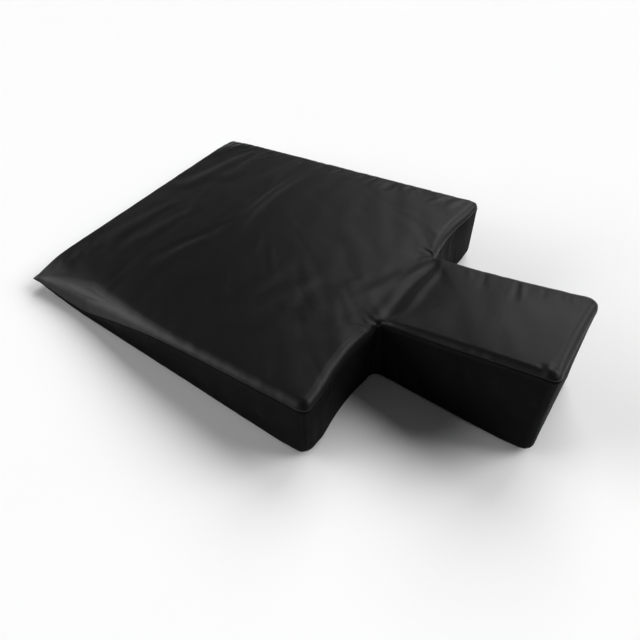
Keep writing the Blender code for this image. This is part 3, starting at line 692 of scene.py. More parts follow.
def fold_height(spots, folds):
    """Height that folds add at flat places, in millimetres: a crest with a slight furrow on each side."""
    height = np.zeros(len(spots))
    for rise, first_width, last_width, path in folds:
        path = soften(path)
        reach = FOLD_REACH * max(first_width, last_width) * FOLD_SPREAD
        close = ((spots > path.min(0) - reach) & (spots < path.max(0) + reach)).all(1)
        if not close.any():
            continue
        here = spots[close]
        nearest, along = np.full(len(here), np.inf), np.zeros(len(here))
        steps = np.diff(path, axis=0)
        lengths = np.linalg.norm(steps, axis=1)
        before = np.concatenate([[0], np.cumsum(lengths)])
        for start, step, length, done in zip(path, steps, lengths, before):
            share = np.clip((here - start) @ step / length**2, 0, 1)
            away = np.linalg.norm(here - start - share[:, None] * step, axis=1)
            closer = away < nearest
            nearest[closer] = away[closer]
            along[closer] = (done + share[closer] * length) / before[-1]
        across = nearest / (first_width + (last_width - first_width) * along) / FOLD_SPREAD
        crest = np.exp(-across**2) - FURROW_SHARE * np.exp(-((across - FURROW_PLACE) / FURROW_WIDTH) ** 2)
        height[close] += rise * crest * (1 - (2 * along - 1) ** 4)
    return height


def small_folds(seed, count):
    """Slight folds scattered over the top panel, which fan out from the thin edge's far corner."""
    chance = np.random.default_rng(seed)
    folds = []
    for _ in range(count):
        start = np.array([chance.uniform(20, 560), chance.uniform(-240, 235)])
        away = start - np.array([40.0, 330.0])
        angle = math.atan2(away[1], away[0]) + chance.normal(0, 0.13)
        length = chance.uniform(60, 190)
        bow = chance.normal(0, 0.06) * length
        way = np.array([math.cos(angle), math.sin(angle)])
        across = np.array([-math.sin(angle), math.cos(angle)])
        path = [start, start + way * length / 2 + across * bow, start + way * length]
        width = chance.uniform(4.0, 9.0)
        rise = chance.choice((-0.6, 1.0)) * chance.uniform(0.10, 0.28)
        folds.append((rise, width, width * 1.3, path))
    return folds


def far_edge_gathers(seed):
    """Short gathers that run off the far edge's seam at even steps, leaning towards the thin edge."""
    chance = np.random.default_rng(seed)
    folds = []
    edge = 252
    for place in np.arange(30, 555, 15.0):
        start = place + chance.normal(0, 3.0)
        reach, lean = chance.uniform(16, 48), chance.uniform(0.15, 0.45)
        middle = (start - lean * reach / 2, edge - reach / 2)
        path = [(start, edge), middle, (start - lean * reach * 1.2, edge - reach)]
        rise = chance.choice((-1.0, 1.0)) * chance.uniform(0.30, 0.65)
        folds.append((rise, 2.5, chance.uniform(4, 8), path))
    return folds


def inner_corner_gathers(seed):
    """Short gathers that run from both inner corners of the top panel into the cloth."""
    chance = np.random.default_rng(seed)
    folds = []
    for side in (-1, 1):
        for angle in np.radians(np.linspace(95, 265, 11) + chance.normal(0, 5, 11)):
            way = np.array([math.cos(angle - math.pi / 4), side * math.sin(angle - math.pi / 4)])
            start = np.array([1000 * WEDGE_LENGTH + 5, side * (500 * TONGUE_WIDTH + 5)])
            reach = chance.uniform(18, 42)
            path = [start + way * 4, start + way * reach / 2, start + way * reach]
            rise = chance.choice((-0.8, 1.0)) * chance.uniform(0.4, 0.8)
            folds.append((rise, 2.5, chance.uniform(4, 6), path))
    return folds


# Puckers beside the seams, a fine and a coarse row of chance heights along each: (share of the
# height, steps to a pucker, how far it reaches into the cloth, row)
PUCKER_STEP = 0.0035
PUCKER_KINDS = ((0.35, 1.0, 0.004, 0), (0.65, 2.6, 0.011, 1))
PUCKER_HEIGHT = 0.00022
FAR_PUCKER_HEIGHT = 0.00030
INNER_PUCKER_HEIGHT = 0.00055
INNER_PUCKER_REACH = 0.030
OUTER_PUCKER_HEIGHT = 0.00030
OUTER_PUCKER_REACH = 0.020
pucker_steps = int(cover_outline.length / PUCKER_STEP)
pucker_rows = np.random.default_rng(41).normal(0, 1, (6, pucker_steps))


def puckers(places, away, row):
    """Fine gathers that run off a seam and fade with the distance from it, in metres."""
    spot = np.mod(places, cover_outline.length) / cover_outline.length * pucker_steps
    height = np.zeros(len(spot))
    for share, coarseness, reach, extra in PUCKER_KINDS:
        values = pucker_rows[row + extra]
        at = spot / coarseness
        first = np.floor(at).astype(int)
        blend = (1 - np.cos((at - first) * math.pi)) / 2
        level = values[first % pucker_steps] * (1 - blend) + values[(first + 1) % pucker_steps] * blend
        height += share * level * np.exp(-away / reach)
    return height


def pucker_strength(places):
    """How tightly each part of the seams is gathered: most at the inner corners and on the far side."""
    strength = PUCKER_HEIGHT + FAR_PUCKER_HEIGHT * np.maximum(cover_outline.at(places)[1][:, 1], 0)
    for corners, height, reach in (
        ((3, 6), INNER_PUCKER_HEIGHT, INNER_PUCKER_REACH),
        ((2, 4, 5, 7), OUTER_PUCKER_HEIGHT, OUTER_PUCKER_REACH),
    ):
        for corner in corners:
            away = abs(places - cover_outline.middle_of_arc(corner))
            strength += height * np.exp(-(away / reach) ** 2)
    return strength


def top_seam_turn(points, normals):
    """Angle of the seam on the top edge's rounding: lower at the ends and where the cloth is slack."""
    turn = TOP_SEAM_TURN + (END_SEAM_TURN - TOP_SEAM_TURN) * np.maximum(normals[..., 0], 0) ** 2
    slack = slackness(points[..., 0], points[..., 1])
    return turn * (1 - (1 - SLACK_SEAM_SHARE) * slack * normals[..., 1] ** 2)


def seam_profile(away):
    """Height beside a seam: a narrow groove, and a slight roll where the cloth comes out of it."""
    groove = -GROOVE_DEPTH * np.exp(-((away / GROOVE_WIDTH) ** 2))
    return groove + SEAM_ROLL * np.exp(-(((away - SEAM_ROLL_PLACE) / SEAM_ROLL_WIDTH) ** 2))


def rub_and_highlight_share(away, height, crest_rub_and_highlight):
    """How much each place is rubbed and painted with a highlight: along the seams, and on the crests of folds.
    """
    beside_seam = np.exp(-(((away - SEAM_ROLL_PLACE) / RUB_AND_HIGHLIGHT_WIDTH) ** 2))
    return np.clip(beside_seam * SEAM_RUB_AND_HIGHLIGHT + np.clip(height / RUBBED_AND_HIGHLIT_HEIGHT, 0, 1) * crest_rub_and_highlight, 0, 1)


# The cloth is cut a little large, so the foam's push leaves it in long soft folds between its seams.
# That is simulated on one plain skin, which is held at the seams and starts from the folds drawn
# above, and is read back as a height over each panel.
SKIN_GRID = 0.0065
SKIN_EASE = -0.006
SKIN_PRESSURE = 1.0
SKIN_BENDING = 10
SKIN_STRETCH = 20
SKIN_SHEAR = 8
SKIN_HOLD = 0.15
SKIN_SHAKE = 0.00006
SKIN_ROUND_ROWS = 7
SKIN_SIDE_ROWS = 14
SKIN_FRAMES = 20
SKIN_RISE = 0.0040
SKIN_FALL = 0.0020
SKIN_NEIGHBOURS = 12
SKIN_BLEND = 0.85
SKIN_SHARE = 0.18
DRAWN_SHARE = 0.60


def stuff_skin():
    """Simulates the skin and gives its points at rest and how far each rises along its normal."""
    spans = [np.linspace(a, b, max(int((b - a) / SKIN_GRID), 3) + 1)[:-1] for a, b in seam_runs]
    places = np.concatenate(spans)
    columns = np.concatenate([np.arange(len(span)) == 0 for span in spans])
    points, normals = cover_outline.at(places)
    seam_turn = top_seam_turn(points, normals)
    base_turns = np.tile(np.array((0, math.pi / 2 - SEAM_TURN, math.pi / 2))[:, None], (1, len(places)))
    above_seam = seam_turn + (math.pi / 2 - seam_turn) * np.linspace(0, 1, SKIN_ROUND_ROWS)[:, None]
    top_turns = np.vstack([seam_turn * 0, above_seam])
    shares = np.linspace(0, 1, SKIN_SIDE_ROWS)[1:-1]
    rest, facing, triangles = closed_form(cover_outline, places, base_turns, shares, top_turns, SKIN_GRID)
    held = np.full(len(rest), SKIN_HOLD)
    rows = len(base_turns) + len(shares) + len(top_turns)
    on_rows = held[:rows * len(places)].reshape(rows, -1)
    on_rows[:2] = 1.0
    on_rows[len(base_turns) + len(shares) + 1] = 1.0
    on_rows[:-len(above_seam), columns] = 1.0
    held[rows * len(places):][facing[rows * len(places):, 2] < 0] = 1.0
    flat = np.column_stack([rest[:, 0] - thin_x, rest[:, 1]]) * 1000
    drawn = fold_height(flat, TOP_FOLDS) / 1000 * (facing[:, 2] > 0.5)
    shake = np.random.default_rng(3).normal(0, SKIN_SHAKE, len(rest))
    start = rest + facing * ((drawn + shake) * (held < 1))[:, None]
    skin = new_object("skin", start, triangles)
    group = skin.vertex_groups.new(name="held")
    for weight in np.unique(held):
        group.add(np.flatnonzero(held == weight).tolist(), float(weight), "REPLACE")
    cloth = skin.modifiers.new("cloth", "CLOTH")
    cloth.settings.quality = 6
    cloth.settings.mass = 0.2
    cloth.settings.tension_stiffness = SKIN_STRETCH
    cloth.settings.compression_stiffness = SKIN_STRETCH
    cloth.settings.shear_stiffness = SKIN_SHEAR
    cloth.settings.bending_stiffness = SKIN_BENDING
    cloth.settings.use_pressure = True
    cloth.settings.uniform_pressure_force = SKIN_PRESSURE
    cloth.settings.shrink_min = SKIN_EASE
    cloth.settings.vertex_group_mass = "held"
    cloth.settings.effector_weights.gravity = 0
    cloth.collision_settings.use_collision = False
    cloth.point_cache.frame_start = 1
    cloth.point_cache.frame_end = SKIN_FRAMES
    scene = bpy.context.scene
    for step in range(1, SKIN_FRAMES + 1):
        scene.frame_set(step)
    made = skin.evaluated_get(bpy.context.evaluated_depsgraph_get()).to_mesh()
    moved = np.zeros(len(rest) * 3)
    made.vertices.foreach_get("co", moved)
    rise = ((moved.reshape(-1, 3) - rest) * facing).sum(1)
    scene.frame_set(1)
    bpy.data.objects.remove(skin)
    limit = np.where(rise < 0, SKIN_FALL, SKIN_RISE)
    return rest, limit * np.tanh(rise / limit)


skin_rest, skin_rise = stuff_skin()
skin_tree = finder(skin_rest)


def stuffed_height(points):
    """Height that the stuffed skin has near each point, blended from its nearest points."""
    height = np.zeros(len(points))
    for i, spot in enumerate(points):
        total = blend = 0.0
        for _, index, away in skin_tree.find_n(spot, SKIN_NEIGHBOURS):
            weight = math.exp(-((away / (SKIN_GRID * SKIN_BLEND)) ** 2))
            total += weight * skin_rise[index]
            blend += weight
        height[i] = total / blend
    return height * SKIN_SHARE


def pulled_to_corners(points):
    """The points, drawn out to the outer corners, where seams meet, and tucked in at the inner ones."""
    x, y, z = points.T
    side = np.sign(y)
    moved = points.copy()
    for corner_x, corner_y, way, pull, reach in (
        (thin_x, half_wedge, -1, TIP_PULL, TIP_PULL_REACH),
        (shoulder_x, half_wedge, 1, CORNER_PULL, CORNER_PULL_REACH),
        (end_x, half_tongue, 1, CORNER_PULL, CORNER_PULL_REACH),
    ):
        amount = pull * np.exp(-np.hypot(x - corner_x, corner_y - abs(y)) / reach) / math.sqrt(2)
        moved[:, 0] += way * amount
        moved[:, 1] += side * amount
    past_x, past_y = x - shoulder_x, abs(y) - half_tongue
    outwards_share = np.clip(((past_x + past_y) / math.sqrt(2) + TUCK_START) / TUCK_BLEND, 0, 1)
    upwards_share = np.clip((z / top_height(x, y) - TUCK_LOW_SHARE) / TUCK_RISE_SHARE, 0, 1)
    amount = TUCK * np.exp(-(past_x**2 + past_y**2) / TUCK_REACH**2)
    amount *= ease(outwards_share) * ease(upwards_share)
    moved[:, 0] -= past_x * amount
    moved[:, 1] -= side * past_y * amount
    return moved


def close_panel(name, node, outer, normals, triangles, border, inwards, depths, lining, cut, rub_and_highlight):
    """A cut of cloth as a closed mesh: its face, its edges turned in along the border, and its back.

    border lists the rim's points in order, inwards the way from each into the panel, and depths how
    far each edge is turned in. lining holds more points, their cut places and the back's triangles,
    in which the border's points come first, by their places in border, and the lining's own follow.
    """
    rim, into = outer[border], inwards * (COVER_THICKNESS * TURNED_SHARE)
    rings = [rim - normals[border] * (depths * share)[:, None] for share in (0.4, 1.0)]
    rings.append(rings[-1] + into)
    back_depths = np.minimum(depths, COVER_THICKNESS + GROOVE_DEPTH)
    rings.append(rim + into - normals[border] * back_depths[:, None] * BACK_SHARE)
    extra, extra_cut, back = lining
    count, start = len(border), len(outer)
    loops = [np.array(border)] + [start + i * count + np.arange(count) for i in range(4)]
    walls = []
    for first, second in zip(loops, loops[1:]):
        after_first, after_second = np.roll(first, -1), np.roll(second, -1)
        walls += [np.stack([first, second, after_second], 1), np.stack([first, after_second, after_first], 1)]
    edges = np.vstack([triangles[:, [0, 1]], triangles[:, [1, 2]], triangles[:, [2, 0]]])
    sides = {tuple(edge) for edge in edges.tolist()}
    walls = np.vstack(walls)
    if (border[0], border[1]) not in sides:
        walls = walls[:, ::-1]
    source = np.concatenate([loops[-1], start + 4 * count + np.arange(len(extra))])
    back = source[back]
    points = shoulders_drawn_in(pulled_to_corners(np.vstack([outer, *rings, extra])))
    # The side panels get the cloth's shaded copy, a painted shade
    cloth = top_cloth if node == "cover_top_panel" else shaded_side_cloth
    made = new_object(name, points, np.vstack([triangles, walls, back]), cloth)
    all_cut = np.vstack([cut, *[cut[border]] * 4, extra_cut])
    all_rub_and_highlight = np.concatenate([rub_and_highlight, np.zeros(len(points) - len(outer))])
    layer = made.data.uv_layers.new(name="cloth")
    corners = np.zeros(len(made.data.loops), np.int32)
    made.data.loops.foreach_get("vertex_index", corners)
    layer.data.foreach_set("uv", all_cut[corners].astype(np.float32).ravel())
    # The rub mask, which paints a highlight into the colour as well as wear, is kept as a point attribute
    made.data.attributes.new("rub_and_highlight", "FLOAT", "POINT").data.foreach_set("value", all_rub_and_highlight.astype(np.float32))
    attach(made, "cushion")
    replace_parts(made, node)
    return made


def seam_steps(first, last, spacing, fine_first=True, fine_last=True):
    """Places from one seam to the next: close together beside the seams, then evenly spaced."""
    low = first + (SEAM_STEPS if fine_first else SEAM_STEPS[:1])
    high = last - (SEAM_STEPS if fine_last else SEAM_STEPS[:1])[::-1]
    steps = max(int((high[0] - low[-1]) / spacing), 2)
    return np.concatenate([low, np.linspace(low[-1], high[0], steps + 1)[1:-1], high])


def cap_panel(name, upper, spacing):
    """The top or base panel: rings over the rounded edge from the seam inwards, then a fine grid."""
    places = np.concatenate([seam_steps(a, b, spacing * 1.2)[:-1] for a, b in seam_runs])
    rounding = on_top_round if upper else on_base_round
    points, normals = cover_outline.at(places)
    radius = edge_radii(points, normals)[0 if upper else 1]
    seam_turn = top_seam_turn(points, normals) if upper else np.full(len(places), SEAM_TURN)
    arc = radius * (math.pi / 2 - seam_turn if upper else seam_turn)
    scale = np.minimum(1.0, CAP_STEP_SHARE * arc / SEAM_STEPS[-1])
    fine = SEAM_STEPS[:, None] * scale
    round_rows = TOP_ROUND_ROWS if upper else BASE_ROUND_ROWS
    later = fine[-1] + (arc - fine[-1]) * np.linspace(0, 1, round_rows)[1:, None]
    distances = np.vstack([fine, later])
    half_gap = SEAM_GAP / 2 * (1 - distances / arc)
    turn = (distances + half_gap) / radius
    angle = seam_turn + turn if upper else seam_turn - turn
    rings, facing = rounding(cover_outline, np.tile(places, (len(distances), 1)), angle)
    ring_count, count = distances.shape
    outer, normals = rings.reshape(-1, 3), facing.reshape(-1, 3)
    last_ring = np.arange(count) + (ring_count - 1) * count
    tree = finder([(x, y, 0) for x, y in outer[last_ring, :2]])
    outer, normals, inner = add_cap(outer, normals, last_ring, upper, spacing)
    found = [tree.find((x, y, 0)) for x, y in outer[ring_count * count:, :2]]
    nearest = np.array([hit[1] for hit in found], int)
    away = np.concatenate([distances.ravel(), arc[nearest] + np.array([hit[2] for hit in found])])
    beside = np.concatenate([np.tile(places, ring_count), places[nearest]])
    triangles = np.vstack([grid_triangles(ring_count, count, closed=True), inner])
    triangles = facing_out(outer, normals, triangles)
    height = puckers(beside, away, 0 if upper else 2) * pucker_strength(beside)
    if upper:
        flat = np.column_stack([outer[:, 0] - thin_x, outer[:, 1]]) * 1000
        held = np.clip(away / FOLD_HOLD_REACH, 0, 1) * (1 - HELD_FOLD_SHARE) + HELD_FOLD_SHARE
        chance_folds = small_folds(5, 90) + far_edge_gathers(8) + inner_corner_gathers(3)
        folds = fold_height(flat, TOP_FOLDS) * DRAWN_SHARE + fold_height(flat, chance_folds)
        height += np.maximum(folds * held, -1000 * DEEPEST_FOLD) / 1000 + stuffed_height(outer)
    else:
        height = np.minimum(height, 0) * np.clip(away / BASE_PUCKER_START, 0, 1)
    # Rub and painted highlight beside the seam and on the fold crests
    rub_and_highlight = rub_and_highlight_share(away, height, TOP_CREST_RUB_AND_HIGHLIGHT)
    height = np.maximum(height, -DEEPEST_FOLD) + seam_profile(away) * (1 if upper else BASE_SEAM_SHARE)
    if not upper:
        height = np.where(away > BASE_FLAT_FROM, np.minimum(height, 0), height)
    outer = outer + normals * height[:, None]
    border = list(range(count))
    inwards = outer[np.arange(count) + count] - outer[:count]
    inwards -= normals[:count] * (inwards * normals[:count]).sum(1)[:, None]
    inwards /= np.linalg.norm(inwards, axis=1)[:, None]
    rim = (outer[:count] + inwards * LINING_SETBACK)[:, :2]
    lining_grid, back = fill_loop(rim, LINING_GRID)
    lining_height = (top_height if upper else base_height)(lining_grid[:, 0], lining_grid[:, 1])
    lining = np.column_stack([lining_grid, lining_height + (-1 if upper else 1) * LINING_DEPTH])
    flat_points = np.vstack([outer[:count], lining])
    back = facing_out(flat_points, np.tile((0, 0, -1.0 if upper else 1.0), (len(flat_points), 1)), back)
    cut = outer[:, :2]
    close_panel(
        name, name.replace("_cloth", ""), outer, normals, triangles, border, inwards,
        np.full(count, ALLOWANCE), (lining, lining_grid, back), cut, rub_and_highlight,
    )


cap_panel("cover_top_panel_cloth", True, TOP_GRID)
cap_panel("cover_base_panel_cloth", False, BASE_GRID)


def band_point(places, distance, whole):
    """A point on the band by its distance up the surface from the base seam, and its normal."""
    points, normals = cover_outline.at(places)
    top, base = edge_radii(points, normals)
    seam_turn = top_seam_turn(points, normals)
    base_arc, top_arc = base * SEAM_TURN, top * seam_turn
    tall = whole - base_arc - top_arc
    base_angle = math.pi / 2 - SEAM_TURN + np.clip(distance / base, 0, SEAM_TURN)
    on_base = on_base_round(cover_outline, places, base_angle)
    on_wall = on_side(cover_outline, places, np.clip((distance - base_arc) / tall, 0, 1))
    on_top = on_top_round(cover_outline, places, np.clip((distance - base_arc - tall) / top, 0, seam_turn))
    low, high = (distance < base_arc)[..., None], (distance > base_arc + tall)[..., None]
    spot = np.where(low, on_base[0], np.where(high, on_top[0], on_wall[0]))
    return spot, np.where(low, on_base[1], np.where(high, on_top[1], on_wall[1]))


def band_height(places):
    """Length up the surface from the base seam to the top seam."""
    points, normals = cover_outline.at(places)
    top, base = edge_radii(points, normals)
    x, y = points[..., 0], points[..., 1]
    tall = top_height(x, y) - base_height(x, y) - top - base
    return base * SEAM_TURN + top * top_seam_turn(points, normals) + tall


def band_panel(node, first, last, low=None, high=None):
    """A side panel between two upright seams. low and high are the heights of a hem instead of a seam."""
    if last < first:
        last += cover_outline.length
    places = seam_steps(first + UPRIGHT_SEAM_GAP / 2, last - UPRIGHT_SEAM_GAP / 2, SIDE_GRID)
    whole = band_height(places)
    start = np.full(len(places), SEAM_GAP / 2)
    finish = whole - SEAM_GAP / 2
    points, edge_normals = cover_outline.at(places)
    base_radius = edge_radii(points, edge_normals)[1]
    if high is not None:
        finish = base_radius * SEAM_TURN + (high - base_radius)
    if low is not None:
        start = base_radius * SEAM_TURN + (low - base_radius)
    shares = seam_steps(0.0, float((finish - start).mean()), SIDE_GRID, low is None, high is None)
    fine_first = SEAM_STEPS if low is None else SEAM_STEPS[:1]
    fine_last = SEAM_STEPS if high is None else SEAM_STEPS[:1]
    middle = len(shares) - len(fine_first) - len(fine_last)
    inner = np.linspace(0, 1, middle + 2)[1:-1, None]
    scale = np.minimum(1.0, BAND_STEP_SHARE * (finish - start) / SEAM_STEPS[-1])
    low_rows, high_rows = start + fine_first[:, None] * scale, finish - fine_last[::-1, None] * scale
    distance = np.vstack([low_rows, low_rows[-1] + (high_rows[0] - low_rows[-1]) * inner, high_rows])
    rows, count = distance.shape
    along = np.tile(places, (rows, 1))
    outer, normals = band_point(along, distance, np.tile(whole, (rows, 1)))
    outer, normals = outer.reshape(-1, 3), normals.reshape(-1, 3)
    triangles = facing_out(outer, normals, grid_triangles(rows, count))
    beside, up = along.ravel(), distance.ravel()
    whole_here = np.tile(whole, rows)
    to_base = up if low is None else np.full(len(up), HEM_DISTANCE)
    to_top = whole_here - up if high is None else np.full(len(up), HEM_DISTANCE)
    to_end = np.minimum(beside - first, last - beside)
    height = puckers(beside, to_top, 0) * pucker_strength(beside)
    height += puckers(beside, to_base, 2) * pucker_strength(beside) * LOWER_PUCKER_SHARE
    if low is None and high is None:
        swell = bump(up / whole_here) * np.clip(to_end / SIDE_SWELL_REACH, 0, 1)
        height += SIDE_SWELL * swell + stuffed_height(outer)
        flat = np.column_stack([beside - first, up]) * 1000
        folds = side_folds(node, (last - first) * 1000, float(whole.mean()) * 1000)
        height += fold_height(flat, folds) / 1000
    away = np.minimum(np.minimum(to_base, to_top), to_end)
    # Rub and painted highlight beside the seams and on the fold crests
    rub_and_highlight = rub_and_highlight_share(away, height, SIDE_CREST_RUB_AND_HIGHLIGHT)
    flatter = np.where(to_end < np.minimum(to_base, to_top), UPRIGHT_SEAM_SHARE, 1.0)
    height = np.maximum(height, -DEEPEST_FOLD) + seam_profile(away) * flatter
    outer = outer + normals * height[:, None]
    number = np.arange(rows * count).reshape(rows, count)
    border = np.concatenate([number[0, :-1], number[:-1, -1], number[-1, :0:-1], number[:0:-1, 0]])
    middle_spot = outer.reshape(rows, count, 3)
    inwards = np.zeros((rows, count, 3))
    inwards[0] += middle_spot[1] - middle_spot[0]
    inwards[-1] += middle_spot[-2] - middle_spot[-1]
    inwards[:, 0] += middle_spot[:, 1] - middle_spot[:, 0]
    inwards[:, -1] += middle_spot[:, -2] - middle_spot[:, -1]
    inwards = inwards.reshape(-1, 3)[border]
    inwards -= normals[border] * (inwards * normals[border]).sum(1)[:, None]
    inwards /= np.linalg.norm(inwards, axis=1)[:, None]
    depth = np.full((rows, count), ALLOWANCE)
    if low is not None:
        depth[0] = COVER_THICKNESS
    if high is not None:
        depth[-1] = COVER_THICKNESS
    inner_number = number[1:-1, 1:-1].ravel()
    lining = outer[inner_number] - normals[inner_number] * COVER_THICKNESS
    position = np.zeros(rows * count, int)
    position[border] = np.arange(len(border))
    position[inner_number] = len(border) + np.arange(len(inner_number))
    back = position[triangles[:, ::-1]]
    cut = np.column_stack([beside, up])
    return close_panel(
        node + "_cloth", node, outer, normals, triangles, border.tolist(), inwards,
        depth.ravel()[border], (lining, cut[inner_number], back), cut, rub_and_highlight,
    )


# The end of each panel beside the tongue that lies at an inner corner, where the cloth is gathered:
# 0 for its first end and 1 for its last
INNER_ENDS = {
    "cover_shoulder_near": (1,),
    "cover_tongue_side_near": (0,),
    "cover_tongue_side_far": (1,),
    "cover_shoulder_far": (0,),
}


def side_folds(node, length, height):
    """Slight upright and leaning folds of a side panel, in millimetres along it and up from its base seam."""
    chance = np.random.default_rng(sum(map(ord, node)))
    folds = []
    for place in np.arange(14, length - 8, 26):
        start = place + chance.uniform(-8, 8)
        lean = chance.normal(0, 0.35)
        reach = height * chance.uniform(0.25, 0.6)
        from_top = chance.random() < 0.6
        foot = height - 2 if from_top else 3
        tip = foot - reach if from_top else foot + reach
        middle = (start + lean * reach * 0.4, (foot + tip) / 2)
        width = chance.uniform(3.0, 6.0)
        path = ((start, foot), middle, (start + lean * reach, tip))
        rise = chance.choice((-0.6, 1.0)) * chance.uniform(0.3, 0.8)
        folds.append((rise, width * 0.7, width * 1.3, path))
    for end in INNER_ENDS.get(node, ()):
        for place in (4, 9, 15, 23):
            start = place if end == 0 else length - place
            lean = chance.normal(0, 3)
            foot = (start + lean * 2, height - chance.uniform(18, 34))
            rise = chance.choice((-0.9, 1.0)) * chance.uniform(0.4, 0.8)
            folds.append((rise, 2.0, 4.5, ((start, height - 3), (start + lean, height - 12), foot)))
    return folds


# The side panels, from the near side round to the far one, each between two upright seams
band_names = (
    "cover_side_near",
    "cover_shoulder_near",
    "cover_tongue_side_near",
    "cover_tongue_end",
    "cover_tongue_side_far",
    "cover_shoulder_far",
    "cover_side_far",
)
band_ends = seams[1:] + seams[:1]
for name, first, last in zip(band_names, band_ends, band_ends[1:]):
    band_panel(name, first, last)

# Zip strips: two narrow cuts of the same coated cloth along the thin edge. Each is sewn to the top or
# base panel, and is folded back to a hem beside the zip.
slot_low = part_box("cover_edge_lower")[1].z
slot_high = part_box("cover_edge_upper")[0].z
zip_strips = [
    band_panel("cover_edge_lower", *band_seams, high=slot_low),
    band_panel("cover_edge_upper", *band_seams, low=slot_high),
]

# Stitches that hold the zip: a row of black polyester lockstitch through each strip, 3 mm to a
# stitch, each a short drawn-in length of twisted thread.
STITCH_LENGTH = 0.0030
THREAD_THICKNESS = 0.00055
STITCH_SHARE = 0.78
STITCH_ROWS = 0.0022
STITCH_BITE = 0.1
PLY_TURN = 0.0007

thread_material, tree, shader, spot = start_material("polyester_thread")
# Twist of the plies, 0.7 mm a turn, which reads as slanting bands
twist = waves(tree, spot, "DIAGONAL", PLY_TURN)
tone = mixed(tree, noise(tree, spot, scale=900.0, detail=2.0), "#111112", "#232325")
plies = relief(tree, twist, strength=0.6, distance=0.0001)
set_inputs(tree, shader, Base_Color=tone, Normal=plies, Roughness=0.55)


def start_tree(name, sockets):
    """A geometry tree with its named inputs, and its group input node."""
    made = bpy.data.node_groups.new(name, "GeometryNodeTree")
    made.interface.new_socket("Geometry", in_out="OUTPUT", socket_type="NodeSocketGeometry")
    for socket, kind in [("Geometry", "Geometry"), *sockets, ("Look", "Material")]:
        made.interface.new_socket(socket, in_out="INPUT", socket_type="NodeSocket" + kind)
    return made, add_node(made, "NodeGroupInput").outputs


def end_tree(tree, geometry, look):
    """Shades the result smooth, makes its instances real and gives it its material."""
    smooth = add_node(tree, "GeometryNodeSetShadeSmooth", Geometry=geometry)
    real = add_node(tree, "GeometryNodeRealizeInstances", Geometry=smooth.outputs[0])
    dressed = add_node(tree, "GeometryNodeSetMaterial", Geometry=real.outputs[0], Material=look)
    add_node(tree, "NodeGroupOutput", i0=dressed.outputs[0])


def grow(name, base, tree, values, offset=(0, 0, 0)):
    """Runs a geometry tree on an object and keeps the result as one plain mesh."""
    modifier = base.modifiers.new("grow", "NODES")
    modifier.node_group = tree
    for item in tree.interface.items_tree:
        if item.item_type == "SOCKET" and item.in_out == "INPUT" and item.name in values:
            modifier[item.identifier] = values[item.name]
    bpy.context.view_layer.update()
    mesh = bpy.data.meshes.new_from_object(base.evaluated_get(bpy.context.evaluated_depsgraph_get()))
    bpy.data.objects.remove(base)
    mesh.name = name
    mesh.transform(Matrix.Translation(offset))
    return place_object(name, mesh)


tree, given = start_tree("lockstitch_row", [("Stitch", "Float"), ("Thread", "Float"), ("Share", "Float")])
line = add_node(tree, "GeometryNodeMeshToCurve", Mesh=given["Geometry"])
steps = add_node(
    tree, "GeometryNodeResampleCurve", {"mode": "LENGTH"}, Curve=line.outputs[0], Length=given["Stitch"],
)
along = add_node(tree, "GeometryNodeInputTangent")
turn = add_node(tree, "FunctionNodeAlignRotationToVector", {"axis": "X"}, Vector=along.outputs[0])
length = product(tree, given["Stitch"], given["Share"])
size = add_node(tree, "ShaderNodeCombineXYZ", X=length, Y=given["Thread"], Z=given["Thread"])
grain = add_node(tree, "GeometryNodeMeshUVSphere", Segments=8, Rings=5, Radius=0.5)
turned = add_node(tree, "GeometryNodeTransform", Geometry=grain.outputs[0], Rotation=(0, math.pi / 2, 0))
placed = add_node(
    tree, "GeometryNodeInstanceOnPoints",
    Points=steps.outputs[0], Instance=turned.outputs[0], Rotation=turn.outputs[0], Scale=size.outputs[0],
)
end_tree(tree, placed.outputs[0], given["Look"])
stitch_tree = tree


def stitch_row(name, path):
    """A row of stitches along a path on the cloth."""
    base = new_object(name, path, [], edges=[(i, i + 1) for i in range(len(path) - 1)])
    values = {
        "Stitch": STITCH_LENGTH, "Thread": THREAD_THICKNESS, "Share": STITCH_SHARE, "Look": thread_material,
    }
    made = grow(name, base, stitch_tree, values)
    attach(made, "cushion")


for strip, edge, way in zip(zip_strips, (slot_low, slot_high), (-1, 1)):
    mesh = strip.data
    spots, faces = [spot.co for spot in mesh.vertices], [face.vertices for face in mesh.polygons]
    ground = BVHTree.FromPolygons(spots, faces)
    path = []
    for y in np.arange(-half_band + 0.004, half_band - 0.003, 0.002):
        before_strip = Vector((thin_x - 0.05, y, edge + way * STITCH_ROWS))
        found, facing, _, _ = ground.ray_cast(before_strip, Vector((1, 0, 0)))
        path.append(found + facing * THREAD_THICKNESS * STITCH_BITE)
    stitch_row(strip.name.replace("_cloth", "_stitches"), path)

# Zip tapes: two narrow ribbons of black polyester, woven with a corded edge beside the teeth, sewn
# to the backs of the strips.
TAPE_BEAD = 0.0011
TAPE_INNER_GAP = 0.00045
TAPE_STEP = 0.004
TAPE_SWAY = 0.00004
WARP_SPACING = 0.0005

tape_material, tree, shader, spot = start_material("woven_polyester_tape")
# A herringbone of 0.5 mm ribs, drawn about twice as coarse as the real weave so that it shows
weave = product(tree, waves(tree, spot, "Y", WARP_SPACING), waves(tree, spot, "Z", WARP_SPACING))
tone = mixed(tree, noise(tree, spot, scale=60.0, detail=4.0), "#0d0d0e", "#1a1a1c")
ribbing = relief(tree, weave, strength=0.7, distance=0.00015)
set_inputs(tree, shader, Base_Color=tone, Normal=ribbing, Roughness=0.85, Sheen_Weight=0.15)

zip_middle = (slot_low + slot_high) / 2


def zip_half(node):
    """The box of one half of the zip, its way from the zip's middle, and how high its outer edge is over it."""
    low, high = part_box(node)
    way = 1 if low.z > zip_middle else -1
    return low, high, way, (high.z if way > 0 else low.z) - zip_middle


